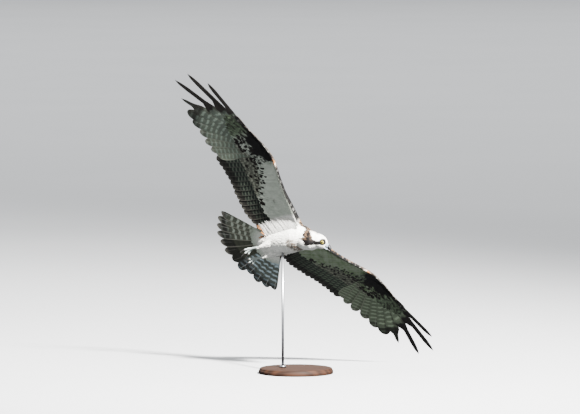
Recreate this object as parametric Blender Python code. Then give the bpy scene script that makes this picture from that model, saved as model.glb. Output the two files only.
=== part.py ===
"""Osprey in a banked turn, life size, held over a round base by one rod.

The bird is modelled level and facing +X, with its left side at +Y and its back at +Z, and an
empty then banks it and lifts it over the base. Lengths are metres and angles degrees.
"""

import math

import bmesh
import bpy
import numpy as np
from mathutils import Euler, Matrix, Vector

# Stand and pose
HEADING, CLIMB, BANK = -44.4, 14.7, -48.3
FLIGHT_HEIGHT = 0.532
BIRD_OFFSET_X, BIRD_OFFSET_Y = 0.0, 0.0
BASE_RADIUS, BASE_THICKNESS, BASE_EDGE = 0.145, 0.022, 0.004
ROD_RADIUS, ROD_X, ROD_Y = 0.005, -0.051, 0.010
ROD_SINK = 0.012
COLLAR_RADIUS, COLLAR_HEIGHT = 0.013, 0.007
FIT = 0.0003

# Torso: each station is a place along the body, a half width, a top and a bottom
TORSO = (
    (0.080, 0.013, 0.004, -0.022),
    (0.072, 0.029, 0.020, -0.040),
    (0.052, 0.043, 0.033, -0.055),
    (0.020, 0.051, 0.040, -0.062),
    (-0.018, 0.052, 0.040, -0.063),
    (-0.060, 0.052, 0.037, -0.058),
    (-0.100, 0.050, 0.031, -0.051),
    (-0.135, 0.047, 0.023, -0.042),
    (-0.165, 0.041, 0.015, -0.031),
    (-0.185, 0.033, 0.009, -0.020),
)
TORSO_SIDES = 20

# Head and neck, in the head's own frame: +X to the bill, +Y left, +Z crown
HEAD_CENTRE = Vector((0.120, 0.036, -0.027))
HEAD_YAW, HEAD_PITCH, HEAD_ROLL = 41.3, 12.9, 43.0
HEAD = (
    (-0.041, 0.010, 0.009, -0.012),
    (-0.034, 0.019, 0.019, -0.021),
    (-0.020, 0.0250, 0.0265, -0.0275),
    (-0.004, 0.0265, 0.0285, -0.0285),
    (0.010, 0.0240, 0.0260, -0.0255),
    (0.021, 0.0185, 0.0200, -0.0205),
    (0.029, 0.0125, 0.0125, -0.0165),
)
HEAD_SIDES = 18
NECK_RADII = (0.040, 0.041, 0.037, 0.021)
NECK_START, NECK_HANDLE = Vector((0.030, 0.0, -0.012)), Vector((0.080, 0.018, -0.030))
EYE_X, EYE_Y, EYE_Z, EYE_RADIUS = 0.0155, 0.0150, 0.0045, 0.0079
LID_RADIUS, LID_THICKNESS = 0.0066, 0.0013

# Wings: x of the leading and trailing edges against the distance out from the shoulder
SHOULDER_Y, SHOULDER_Z = 0.055, 0.020
ARM_SLOPE, BEND_LENGTH = 14.5, 0.050
HAND_SLOPE = {"right": 2.0, "left": 4.6}
ARM_SHEAR = {"right": -0.019, "left": -0.030}
HAND_SHEAR = {"right": -0.030, "left": 0.0}
HAND_TWIST, TWIST_X = 0.06, 0.080
WRIST_LEAD, WRIST_TRAIL = 0.262, 0.348
ROOT_LEAD, ROOT_TRAIL = -0.030, -0.010
TIP_LEAD, TIP_TRAIL = 0.690, 0.735
LEADING = (
    (-0.030, 0.050), (0.016, 0.056), (0.075, 0.064), (0.125, 0.068), (0.180, 0.081),
    (0.235, 0.098), (0.270, 0.107), (0.310, 0.1075), (0.375, 0.1035), (0.425, 0.0965),
    (0.480, 0.0840), (0.530, 0.0780), (0.670, 0.0800), (0.740, 0.0400),
)
TRAILING = (
    (-0.030, -0.125), (0.030, -0.165), (0.083, -0.185), (0.120, -0.184), (0.190, -0.176),
    (0.223, -0.167), (0.300, -0.163), (0.341, -0.1610), (0.383, -0.152), (0.430, -0.1435),
    (0.483, -0.127), (0.540, -0.115), (0.589, -0.101), (0.648, -0.081), (0.731, -0.041),
    (0.740, 0.020),
)
CAMBER = 0.009
ARM_REACH, HAND_REACH = (0.40, 0.40), (0.40, 0.14)
ARM_FRONT, HAND_FRONT, ROOT_FADE = (0.030, 0.013), (0.013, 0.008), 2.2
HAND_CORE_LEAD, HAND_CORE_TRAIL = 0.455, 0.470

# Feathers of the wing: primaries are counted outwards, secondaries inwards
# Each primary has the x and s of its tip, the widths of its inner and outer vane, and the share
# of its length where it narrows to a finger, 1 where it doesn't
PRIMARIES = (
    (-0.1410, 0.3590, 0.030, 0.021, 1.00),
    (-0.1465, 0.3880, 0.022, 0.022, 1.00),
    (-0.1380, 0.4330, 0.024, 0.024, 1.00),
    (-0.1200, 0.4850, 0.027, 0.026, 1.00),
    (-0.1090, 0.5410, 0.029, 0.026, 1.00),
    (-0.0940, 0.5900, 0.030, 0.024, 1.00),
    (-0.0750, 0.6500, 0.030, 0.021, 0.78),
    (-0.0360, 0.7340, 0.029, 0.014, 0.56),
    (0.0370, 0.7400, 0.026, 0.011, 0.52),
    (0.0880, 0.6720, 0.021, 0.008, 0.46),
)
FINGER_HALF = 0.0085
PRIMARY_ROOT_X, PRIMARY_ROOT_S = (0.045, 0.084), (0.300, 0.415)
SECONDARIES, SECONDARY_HALF, FIRST_OUTER, SECONDARY_ROOT = 16, 0.0175, 0.026, 0.22
ARM_COVERTS, COVERT_HALF, COVERT_REACH = 11, 0.0170, 0.63
VANE_THICKNESS, VANE_TILT = 0.0007, 0.10
# From these shares of their length on, remiges may cross the parting line by a width
PAST_PARTING, PAST_WIDTH = (0.62, 0.76), 0.014
ARM_COVERT_LIFT, HAND_COVERT_LIFT = 0.0034, 0.0028
ARM_REAR, HAND_REAR = 0.0086, 0.0070

# Tail
TAIL_BASE_X, TAIL_BASE_Z, TAIL_PITCH, TAIL_TWIST = -0.178, -0.002, 3.2, -7.3
TAIL_LENGTH = 0.216
TAIL_INNER, TAIL_OUTER = {"right": 5.5, "left": 7.7}, {"right": 66.5, "left": 64.5}
TAIL_TRIM = {
    "right": (0.0, 0.002, 0.0, 0.002, 0.0, 0.0),
    "left": (0.008, 0.001, 0.022, 0.004, 0.0, 0.0),
}
TAIL_STEP, TAIL_OFFSET, TAIL_COVERTS = 0.0012, 0.0010, 9
FAN_ORIGIN, TAIL_ROOT, TAIL_VANES = 0.113, 0.088, (0.026, 0.018)
LAST_VANES = (0.031, 0.010)
TAIL_COVERT_SPREAD, TAIL_COVERT_START, TAIL_COVERT_END = 37.0, 0.094, (0.198, 0.150)
RUMP_START, RUMP_REACH, RUMP_TAPER, RUMP_SPREAD = 0.045, 0.140, 0.034, 45.5

# Legs: ankle, toe base and reach of the middle toe, right and left
LEG_ROOT_X, LEG_ROOT_Y, LEG_ROOT_Z = -0.085, 0.024, -0.022
ANKLE = {"right": (-0.150, -0.032, -0.047), "left": (-0.156, 0.014, -0.053)}
TOE_BASE = {"right": (-0.191, -0.033, -0.043), "left": (-0.201, 0.013, -0.050)}
LEG_RADII = (0.020, 0.016, 0.010, 0.0062)
TARSUS_RADIUS, TOE_RADIUS = 0.0048, 0.0037
TOE_LENGTHS = (0.033, 0.038, 0.033, 0.024)
CLAW_LENGTH, CLAW_RADIUS = 0.022, 0.0030


def clear_scene():
    """Removes every object that the scene starts with."""
    for obj in list(bpy.data.objects):
        bpy.data.objects.remove(obj)


def finish(name, colour, roughness, metallic=0.0):
    """A plain Principled material."""
    made = bpy.data.materials.get(name)
    if made is None:
        made = bpy.data.materials.new(name)
        made.use_nodes = True
        shader = made.node_tree.nodes["Principled BSDF"]
        shader.inputs["Base Color"].default_value = (*colour, 1.0)
        shader.inputs["Roughness"].default_value = roughness
        shader.inputs["Metallic"].default_value = metallic
    return made


def object_of(name, points, faces, material):
    """One mesh object with its faces turned outwards."""
    mesh = bpy.data.meshes.new(name)
    mesh.from_pydata([tuple(point) for point in points], [], faces)
    shape = bmesh.new()
    shape.from_mesh(mesh)
    bmesh.ops.recalc_face_normals(shape, faces=shape.faces)
    shape.to_mesh(mesh)
    shape.free()
    mesh.shade_smooth()
    mesh.set_sharp_from_angle(angle=math.radians(40))
    mesh.materials.append(material)
    made = bpy.data.objects.new(name, mesh)
    bpy.context.scene.collection.objects.link(made)
    return made


def loft(name, rings, material):
    """A closed body through rings of equal point counts, with a fan at each end."""
    sides = len(rings[0])
    points = [Vector(point) for ring in rings for point in ring]
    faces = []
    for row in range(len(rings) - 1):
        for side in range(sides):
            after = (side + 1) % sides
            low, high = row * sides, (row + 1) * sides
            faces += [(low + side, low + after, high + after), (low + side, high + after, high + side)]
    for ring in (0, len(rings) - 1):
        centre = sum((Vector(point) for point in rings[ring]), Vector()) / sides
        points.append(centre)
        for side in range(sides):
            after = (side + 1) % sides
            faces.append((ring * sides + side, ring * sides + after, len(points) - 1))
    return object_of(name, points, faces, material)


def plate(name, upper, lower, material):
    """A thin closed sheet between two equal grids, split into triangles alike on both faces."""
    rows, columns = len(upper), len(upper[0])
    points = [point for row in upper for point in row] + [point for row in lower for point in row]
    under = rows * columns
    faces = []
    for row in range(rows - 1):
        for column in range(columns - 1):
            first = row * columns + column
            beside, behind = first + 1, first + columns
            across = behind + 1
            faces += [(first, beside, across), (first, across, behind)]
            faces += [(under + first, under + across, under + beside)]
            faces += [(under + first, under + behind, under + across)]
    edge = [column for column in range(columns)]
    edge += [row * columns + columns - 1 for row in range(1, rows)]
    edge += [(rows - 1) * columns + column for column in range(columns - 2, -1, -1)]
    edge += [row * columns for row in range(rows - 2, 0, -1)]
    for index, here in enumerate(edge):
        after = edge[(index + 1) % len(edge)]
        faces += [(after, here, under + here), (after, under + here, under + after)]
    return object_of(name, points, faces, material)


def ellipse_ring(x, half_width, top, bottom, sides):
    """Points round an upright oval at x, fuller above or below its widest line."""
    middle, half_height = (top + bottom) / 2, (top - bottom) / 2
    turns = (2 * math.pi * side / sides for side in range(sides))
    return [(x, half_width * math.cos(turn), middle + half_height * math.sin(turn)) for turn in turns]


def tube(name, path, radii, sides, material):
    """A closed tube along a path, its rings square to it."""
    path = [Vector(point) for point in path]
    rings = []
    for index, point in enumerate(path):
        before, after = path[max(index - 1, 0)], path[min(index + 1, len(path) - 1)]
        along = (after - before).normalized()
        level = Vector((0, 0, 1)).cross(along).normalized()
        upright = along.cross(level)
        ring = []
        for side in range(sides):
            turn = 2 * math.pi * side / sides
            ring.append(point + radii[index] * (math.cos(turn) * level + math.sin(turn) * upright))
        rings.append(ring)
    return loft(name, rings, material)


def smooth_path(points, count):
    """Points evenly along a quadratic curve whose ends and middle handle are given."""
    start, handle, end = (Vector(point) for point in points)
    path = []
    for step in range(count):
        t = step / (count - 1)
        path.append((1 - t) ** 2 * start + 2 * t * (1 - t) * handle + t ** 2 * end)
    return path


def swollen(obj, margin):
    """A hidden copy of a body, grown by a margin along its normals, to cut neighbours with."""
    copy = obj.copy()
    copy.data = obj.data.copy()
    copy.name = obj.name + "_cutter"
    bpy.context.scene.collection.objects.link(copy)
    normals = [vertex.normal.copy() for vertex in copy.data.vertices]
    for vertex, normal in zip(copy.data.vertices, normals):
        vertex.co += normal * margin
    copy.hide_render = True
    copy.display_type = "WIRE"
    return copy


def settle(obj):
    """Applies the object's modifiers and keeps only its largest closed surface."""
    bpy.context.view_layer.update()
    graph = bpy.context.evaluated_depsgraph_get()
    mesh = bpy.data.meshes.new_from_object(obj.evaluated_get(graph))
    obj.modifiers.clear()
    shape = bmesh.new()
    shape.from_mesh(mesh)
    left = set(shape.faces)
    islands = []
    while left:
        front = [left.pop()]
        island = list(front)
        while front:
            for edge in front.pop().edges:
                for face in edge.link_faces:
                    if face in left:
                        left.remove(face)
                        front.append(face)
                        island.append(face)
        islands.append(island)
    islands.sort(key=len)
    scraps = [face for island in islands[:-1] for face in island]
    bmesh.ops.delete(shape, geom=scraps, context="FACES")
    shape.to_mesh(mesh)
    shape.free()
    obj.data = mesh
    return obj


def cut(obj, *cutters):
    """Takes the cutters out of the object."""
    for cutter in cutters:
        step = obj.modifiers.new(cutter.name, "BOOLEAN")
        step.operation = "DIFFERENCE"
        step.object = cutter
    return settle(obj)


def fuse(obj, pieces):
    """Joins a collection of closed pieces to the object and removes it."""
    group = bpy.data.collections.new(obj.name + "_pieces")
    bpy.context.scene.collection.children.link(group)
    for piece in pieces:
        bpy.context.scene.collection.objects.unlink(piece)
        group.objects.link(piece)
    step = obj.modifiers.new("fuse", "BOOLEAN")
    step.operation = "UNION"
    step.operand_type = "COLLECTION"
    step.collection = group
    settle(obj)
    for piece in list(group.objects):
        bpy.data.objects.remove(piece)
    bpy.data.collections.remove(group)
    return obj


def hide(obj):
    """Marks a helper that is no part of the model."""
    obj.hide_render = True
    obj.display_type = "WIRE"
    return obj


def build_torso():
    """The trunk, from breast to rump."""
    rings = [ellipse_ring(*station, TORSO_SIDES) for station in TORSO]
    return loft("torso", rings, finish("white_plumage", (0.86, 0.85, 0.81), 0.85))


def head_matrix():
    """Places the head's own frame on the bird."""
    turn = Euler(tuple(math.radians(a) for a in (0, HEAD_PITCH, HEAD_YAW))).to_matrix()
    roll = Matrix.Rotation(math.radians(HEAD_ROLL), 3, "X")
    return Matrix.Translation(HEAD_CENTRE) @ (turn @ roll).to_4x4()


def place(obj, matrix):
    """Moves a mesh by a matrix, keeping the object at the origin."""
    obj.data.transform(matrix)
    return obj


def ball(name, centre, scale, material, turns=20, levels=12):
    """A sphere stretched by scale about its centre."""
    shape = bmesh.new()
    bmesh.ops.create_uvsphere(shape, u_segments=turns, v_segments=levels, radius=1.0)
    mesh = bpy.data.meshes.new(name)
    shape.to_mesh(mesh)
    shape.free()
    mesh.transform(Matrix.Translation(centre) @ Matrix.Diagonal((*scale, 1.0)))
    mesh.shade_smooth()
    mesh.materials.append(material)
    made = bpy.data.objects.new(name, mesh)
    bpy.context.scene.collection.objects.link(made)
    return made


def eyelid(side, material):
    """The raised rim of one eye's opening, a ring that leans with the side of the head."""
    rings = []
    for step in range(16):
        turn = 2 * math.pi * step / 16
        out = Vector((math.cos(turn), 0, math.sin(turn)))
        centre = Vector((EYE_X, side * (EYE_Y + 0.0040), EYE_Z)) + LID_RADIUS * out
        centre.y -= side * 0.16 * (centre.x - EYE_X)
        ring = []
        for corner in range(6):
            angle = 2 * math.pi * corner / 6
            lift = Vector((0, math.sin(angle), 0)) + math.cos(angle) * out
            ring.append(centre + LID_THICKNESS * lift)
        rings.append(ring)
    points = [point for ring in rings for point in ring]
    faces = []
    for row in range(16):
        for corner in range(6):
            here, beside = row * 6 + corner, row * 6 + (corner + 1) % 6
            after, across = (here + 6) % 96, (beside + 6) % 96
            faces.append((here, beside, across, after))
    return object_of("lid", points, faces, material)


def build_head():
    """Skull with brow, lids, eye sockets and gape, and the eyes in it."""
    plumage = finish("crown_plumage", (0.88, 0.86, 0.80), 0.85)
    rings = [ellipse_ring(*station, HEAD_SIDES) for station in HEAD]
    head = loft("head", rings, plumage)
    extras, sockets, eyes = [], [], []
    iris = finish("eye", (0.75, 0.62, 0.12), 0.08)
    for name, side in (("right", -1), ("left", 1)):
        centre = Vector((EYE_X, side * EYE_Y, EYE_Z))
        extras.append(eyelid(side, plumage))
        brow = Vector((EYE_X - 0.001, side * (EYE_Y + 0.0015), EYE_Z + 0.0078))
        extras.append(ball("brow", brow, (0.0115, 0.0050, 0.0030), plumage, 12, 8))
        sockets.append(hide(ball("socket", centre, (EYE_RADIUS + FIT,) * 3, iris, 16, 10)))
        eyes.append(ball("eye_" + name, centre, (EYE_RADIUS,) * 3, iris, 16, 10))
    fuse(head, extras)
    gape = [(0.010, -0.0098), (0.030, -0.0085), (0.060, -0.0085)]
    upper = [[(x, y, z + 0.00035) for y in (-0.03, 0.03)] for x, z in gape]
    lower = [[(x, y, z - 0.00035) for y in (-0.03, 0.03)] for x, z in gape]
    slit = hide(plate("gape", upper, lower, plumage))
    cut(head, *sockets, slit)
    for helper in (*sockets, slit):
        bpy.data.objects.remove(helper)
    for obj in (head, *eyes):
        place(obj, head_matrix())
    return head, eyes


def build_bill():
    """Hooked upper bill with nostrils, and the lower bill under it."""
    horn = finish("bill", (0.06, 0.06, 0.07), 0.35)
    stations = (
        (0.0293, 0.0085, 0.0092, -0.0080, 0.0),
        (0.0370, 0.0078, 0.0088, -0.0081, 0.0),
        (0.0440, 0.0064, 0.0062, -0.0083, 8.0),
        (0.0500, 0.0047, 0.0012, -0.0094, 30.0),
        (0.0535, 0.0032, -0.0050, -0.0120, 52.0),
        (0.0545, 0.0018, -0.0115, -0.0150, 76.0),
        (0.0537, 0.0006, -0.0165, -0.0170, 88.0),
    )
    rings = []
    for x, half_width, top, bottom, lean in stations:
        tilt = math.radians(lean)
        middle, half = (top + bottom) / 2, (top - bottom) / 2
        reach = max(half, 0.0018 if lean > 60 else half)
        ring = []
        for corner in range(12):
            turn = 2 * math.pi * corner / 12
            up = reach * math.sin(turn)
            ring.append((x + up * math.sin(tilt), half_width * math.cos(turn), middle + up * math.cos(tilt)))
        rings.append(ring)
    upper = loft("bill_upper", rings, horn)
    nostrils = []
    for side in (-1, 1):
        centre = Vector((0.0385, side * 0.0078, 0.0025))
        nostrils.append(hide(ball("nostril", centre, (0.0022, 0.0022, 0.0011), horn, 10, 6)))
    cut(upper, *nostrils)
    for helper in nostrils:
        bpy.data.objects.remove(helper)
    jaw = (
        (0.0293, 0.0072, -0.0090, -0.0150),
        (0.0370, 0.0064, -0.0091, -0.0150),
        (0.0430, 0.0048, -0.0095, -0.0143),
        (0.0480, 0.0026, -0.0108, -0.0134),
    )
    lower = loft("bill_lower", [ellipse_ring(*station, 12) for station in jaw], horn)
    for obj in (upper, lower):
        place(obj, head_matrix())
    return upper, lower


def build_neck():
    """The short drawn-in neck, from inside the breast to inside the head."""
    path = smooth_path((NECK_START, NECK_HANDLE, HEAD_CENTRE), len(NECK_RADII))
    return tube("neck", path, NECK_RADII, 18, finish("neck_plumage", (0.84, 0.80, 0.72), 0.85))


def wing_sheet(side, s):
    """Y, Z and slope of a wing's sheet at a distance s out from the shoulder."""
    span = np.linspace(-0.06, 0.80, 345)
    middle = (WRIST_LEAD + WRIST_TRAIL) / 2
    ends = (middle - BEND_LENGTH, middle + BEND_LENGTH)
    slope = np.radians(np.interp(span, ends, (ARM_SLOPE, HAND_SLOPE[side])))
    step = span[1] - span[0]
    start = int(round(-span[0] / step))
    across = np.cumsum(np.cos(slope)) * step
    rise = np.cumsum(np.sin(slope)) * step
    y = SHOULDER_Y + np.interp(s, span, across - across[start])
    z = SHOULDER_Z + np.interp(s, span, rise - rise[start])
    return y, z, np.interp(s, span, slope)


def edge_x(table, s):
    """X of the leading or trailing edge at a distance out."""
    return float(np.interp(s, [row[0] for row in table], [row[1] for row in table]))


def on_wing(side, x, s, lift):
    """The point of a wing at x and s, lifted off its sheet."""
    y, z, slope = wing_sheet(side, s)
    lead, trail = edge_x(LEADING, s), edge_x(TRAILING, s)
    share = min(max((lead - x) / (lead - trail), 0.0), 1.0)
    fade = float(np.interp(s, (0.30, 0.55), (1.0, 0.0)))
    lift += CAMBER * 4 * share * (1 - share) * fade
    lift -= HAND_TWIST * (TWIST_X - x) * float(np.interp(s, (0.35, 0.55), (0.0, 1.0)))
    shift = ARM_SHEAR[side] * min(s, WRIST_LEAD) + HAND_SHEAR[side] * max(s - WRIST_LEAD, 0.0)
    mirror = 1 if side == "left" else -1
    return Vector((x + shift, mirror * (y - math.sin(slope) * lift), z + math.cos(slope) * lift))


def wing_plate(name, side, ends, reach, fronts, rears, material, rows, nudges=(0.0, 0.0)):
    """A wing's airfoil between two chord lines, out to a share of the chord."""
    shares = (0.0, 0.035, 0.11, 0.25, 0.45, 0.70, 1.0)
    swell = (0.35, 0.72, 1.0, 0.95, 0.70, 0.42, 0.0)
    upper, lower = [], []
    for row in range(rows):
        t = row / (rows - 1)
        nudge = nudges[0] * (1 - t) + nudges[1] * t if row in (0, rows - 1) else 0.0
        lead_s = ends[0][0] * (1 - t) + ends[1][0] * t
        trail_s = ends[0][1] * (1 - t) + ends[1][1] * t
        lead, trail = (edge_x(LEADING, lead_s), lead_s), (edge_x(TRAILING, trail_s), trail_s)
        share_end = reach[0] * (1 - t) + reach[1] * t
        front = fronts[1] + (fronts[0] - fronts[1]) * (1 - t) ** ROOT_FADE
        rear = rears[0] * (1 - t) + rears[1] * t
        top, bottom = [], []
        for share, bulge in zip(shares, swell):
            part = share * share_end
            x = lead[0] + (trail[0] - lead[0]) * part
            s = lead[1] + (trail[1] - lead[1]) * part + nudge
            half = (rear + (front - rear) * bulge) / 2
            top.append(on_wing(side, x, s, half))
            bottom.append(on_wing(side, x, s, -half))
        upper.append(top)
        lower.append(bottom)
    return plate(name, upper, lower, material)


def parting(x):
    """Distance out of the line that parts arm from hand, at x."""
    front, rear = edge_x(LEADING, WRIST_LEAD), edge_x(TRAILING, WRIST_TRAIL)
    return WRIST_LEAD + (WRIST_TRAIL - WRIST_LEAD) * (front - x) / (front - rear)


def vane(name, side, root, tip, profile, lift, hand, material):
    """One feather's vane, from root to tip, tilted so that it lies over its outer neighbour.

    The profile has rows of share of length, inner width and outer width.
    """
    root, tip = np.array(root), np.array(tip)
    along = (tip - root) / np.linalg.norm(tip - root)
    outward = np.array((along[1], -along[0]))
    upper, lower = [], []
    for share, inner, outer in profile:
        top, bottom = [], []
        middle = root + (tip - root) * share
        past = np.interp(share, PAST_PARTING, (-FIT * 0.7, PAST_WIDTH)) if lift == 0.0 else -FIT * 0.7
        for offset in (-inner, outer):
            x, s = middle + outward * offset
            limit = parting(x)
            s = max(s, limit - past) if hand else min(s, limit + past)
            height = lift + VANE_TILT * np.dot(np.array((x, s)) - middle, outward)
            top.append(on_wing(side, x, s, height + VANE_THICKNESS / 2))
            bottom.append(on_wing(side, x, s, height - VANE_THICKNESS / 2))
        upper.append(top)
        lower.append(bottom)
    return plate(name, upper, lower, material)


def rounded(inner, outer):
    """The outline of a long vane with a rounded tip."""
    shape = ((0.0, 0.45), (0.40, 0.88), (0.78, 1.0), (0.95, 0.70), (1.0, 0.22))
    return [(share, inner * part, outer * part) for share, part in shape]


def blunt(inner, outer):
    """The outline of a covert."""
    shape = ((0.0, 0.70), (0.66, 1.0), (0.92, 0.74), (1.0, 0.20))
    return [(share, inner * part, outer * part) for share, part in shape]


def fingered(inner, outer, notch):
    """The outline of an outer primary, narrowing at its notch to a long finger."""
    rows = [(0.0, inner * 0.4, outer * 0.5), (notch * 0.55, inner * 0.85, outer * 0.9)]
    rows += [(notch - 0.05, inner, outer), (notch + 0.06, FINGER_HALF, min(outer, FINGER_HALF))]
    rows += [(0.86, FINGER_HALF * 0.95, min(outer, FINGER_HALF * 0.9)), (1.0, 0.0012, 0.0012)]
    return rows


def primary_root(index):
    """Where a primary's quill starts, as x and s."""
    t = index / (len(PRIMARIES) - 1)
    x = PRIMARY_ROOT_X[0] + (PRIMARY_ROOT_X[1] - PRIMARY_ROOT_X[0]) * t
    return x, PRIMARY_ROOT_S[0] + (PRIMARY_ROOT_S[1] - PRIMARY_ROOT_S[0]) * t ** 0.9


def hand_vanes(side, material):
    """Primaries, with a covert above and below each of them but the longest's finger."""
    vanes = []
    for index, (tip_x, tip_s, inner, outer, notch) in enumerate(PRIMARIES):
        root, tip = np.array(primary_root(index)), np.array((tip_x, tip_s))
        profile = rounded(inner, outer) if notch == 1.0 else fingered(inner, outer, notch)
        if index == 0:
            profile.insert(2, (PAST_PARTING[0], inner * 0.95, outer * 0.95))
        vanes.append(vane("primary", side, root, tip, profile, 0.0, True, material))
        reach = 0.47 - 0.013 * index
        short = root + (tip - root) * reach
        start = root + (tip - root) * 0.02
        narrow = blunt(0.010 + 0.0006 * index, 0.009)
        for sign in (1, -1):
            lift = sign * HAND_COVERT_LIFT
            vanes.append(vane("covert", side, start, short, narrow, lift, True, material))
    return vanes


def chord_point(q, share):
    """The x and s of a share of the arm's chord, q of the way from shoulder to wrist."""
    lead_s = ROOT_LEAD + (WRIST_LEAD - ROOT_LEAD) * q
    trail_s = ROOT_TRAIL + (WRIST_TRAIL - ROOT_TRAIL) * q
    lead = np.array((edge_x(LEADING, lead_s), lead_s))
    trail = np.array((edge_x(TRAILING, trail_s), trail_s))
    return lead + (trail - lead) * share


def arm_vanes(side, material):
    """Secondaries, and the greater coverts over and under them."""
    vanes = []
    for index in range(SECONDARIES):
        q = 1 - (index + 0.42) / SECONDARIES * 0.98
        root, tip = chord_point(q, SECONDARY_ROOT), chord_point(q, 1.0)
        tip[0] -= 0.002 * (index % 2)
        outer = SECONDARY_HALF if index else FIRST_OUTER
        profile = rounded(SECONDARY_HALF, outer)
        if index == 0:
            profile.insert(2, (PAST_PARTING[0], SECONDARY_HALF * 0.95, outer * 0.95))
        vanes.append(vane("secondary", side, root, tip, profile, 0.0, False, material))
    for index in range(ARM_COVERTS):
        q = 1 - (index + 0.45) / ARM_COVERTS * 0.97
        profile = blunt(COVERT_HALF, COVERT_HALF)
        for sign in (1, -1):
            root, tip = chord_point(q, SECONDARY_ROOT + 0.06), chord_point(q, COVERT_REACH)
            lift = sign * ARM_COVERT_LIFT
            vanes.append(vane("covert", side, root, tip, profile, lift, False, material))
    return vanes


def build_wing(side, torso_cutter, neck_cutter):
    """Arm and hand of one wing, parted by a thin gap from the wrist to the trailing edge."""
    dark = finish("flight_feathers", (0.13, 0.12, 0.10), 0.75)
    shoulder, wrist = (ROOT_LEAD, ROOT_TRAIL), (WRIST_LEAD, WRIST_TRAIL)
    tip = (HAND_CORE_LEAD, HAND_CORE_TRAIL)
    half = FIT * 0.7
    arm = wing_plate("wing_%s_arm" % side, side, (shoulder, wrist), ARM_REACH, ARM_FRONT,
                     (ARM_REAR, ARM_REAR), dark, 8, (0.0, -half))
    hand = wing_plate("wing_%s_hand" % side, side, (wrist, tip), HAND_REACH, HAND_FRONT,
                      (HAND_REAR, 0.005), dark, 6, (half, 0.0))
    fuse(arm, arm_vanes(side, dark))
    fuse(hand, hand_vanes(side, dark))
    cut(arm, torso_cutter, neck_cutter)
    return arm, hand


def tail_point(angle, reach, lift):
    """A point of the tail's fan, by angle from its middle line, distance from its origin and lift."""
    pitch, twist = math.radians(TAIL_PITCH), math.radians(TAIL_TWIST)
    back = Vector((-math.cos(pitch), 0, math.sin(pitch)))
    up = Vector((math.sin(pitch), 0, math.cos(pitch)))
    left = math.cos(twist) * Vector((0, 1, 0)) + math.sin(twist) * up
    normal = back.cross(left) * -1
    turn = math.radians(angle)
    origin = Vector((TAIL_BASE_X, 0, TAIL_BASE_Z)) - FAN_ORIGIN * back
    return origin + reach * (math.cos(turn) * back + math.sin(turn) * left) + lift * normal


def tail_ray(side, index):
    """Angle and length of one tail feather, counted from the middle, in the fan's frame."""
    turn = math.radians(TAIL_INNER[side] + (TAIL_OUTER[side] - TAIL_INNER[side]) * index / 5)
    length = TAIL_LENGTH - TAIL_TRIM[side][index]
    back = FAN_ORIGIN + length * math.cos(turn)
    return math.degrees(math.atan2(length * math.sin(turn), back)), math.hypot(length * math.sin(turn), back)


def tail_vane(angle, start, length, widths, lift, material):
    """One feather of the tail, flat, along its own ray, with a width to each side of it."""
    shape = ((0.0, 0.30), (0.45, 0.75), (0.82, 1.0), (0.95, 0.78), (1.0, 0.32))
    upper, lower = [], []
    for share, part in shape:
        reach = start + (length - start) * share
        top, bottom = [], []
        for width in (-widths[0], widths[1]):
            end = angle + math.degrees(math.atan2(width * part, reach))
            far = math.hypot(reach, width * part)
            top.append(tail_point(end, far, lift + VANE_THICKNESS / 2))
            bottom.append(tail_point(end, far, lift - VANE_THICKNESS / 2))
        upper.append(top)
        lower.append(bottom)
    return plate("rectrix", upper, lower, material)


def build_tail(torso_cutter):
    """The spread tail: twelve feathers in a stack, the middle pair on top, with their coverts."""
    grey = finish("tail_feathers", (0.42, 0.42, 0.40), 0.75)
    tops = (0.0045, 0.0055, 0.0050, 0.0030)
    floors = (-0.0120, -0.0130, -0.0120, -0.0105)
    upper, lower = [], []
    for row in range(13):
        across = row / 12 * 2 - 1
        end = RUMP_REACH - RUMP_TAPER * across ** 2
        reaches = [RUMP_START + (end - RUMP_START) * share for share in (0.0, 0.35, 0.75, 1.0)]
        upper.append([tail_point(across * RUMP_SPREAD, r, h) for r, h in zip(reaches, tops)])
        lower.append([tail_point(across * RUMP_SPREAD, r, h) for r, h in zip(reaches, floors)])
    tail = plate("tail", upper, lower, grey)
    vanes = []
    for index in range(6):
        inner, outer = LAST_VANES if index == 5 else TAIL_VANES
        for side, mirror, drop in (("right", -1, 0.0), ("left", 1, TAIL_OFFSET)):
            angle, length = tail_ray(side, index)
            lift = -drop - TAIL_STEP * index
            widths = (inner, outer) if mirror == 1 else (outer, inner)
            vanes.append(tail_vane(mirror * angle, TAIL_ROOT, length, widths, lift, grey))
    for index in range(TAIL_COVERTS):
        across = index / (TAIL_COVERTS - 1) * 2 - 1
        end = TAIL_COVERT_END[0] + (TAIL_COVERT_END[1] - TAIL_COVERT_END[0]) * across ** 2
        for lift, step in ((0.0011, 0.0004), (-0.0083, -0.0004)):
            height = lift + step * (index % 2) * 2
            angle = across * TAIL_COVERT_SPREAD
            vanes.append(tail_vane(angle, TAIL_COVERT_START, end, (0.0125, 0.0125), height, grey))
    fuse(tail, vanes)
    return cut(tail, torso_cutter)


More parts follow.
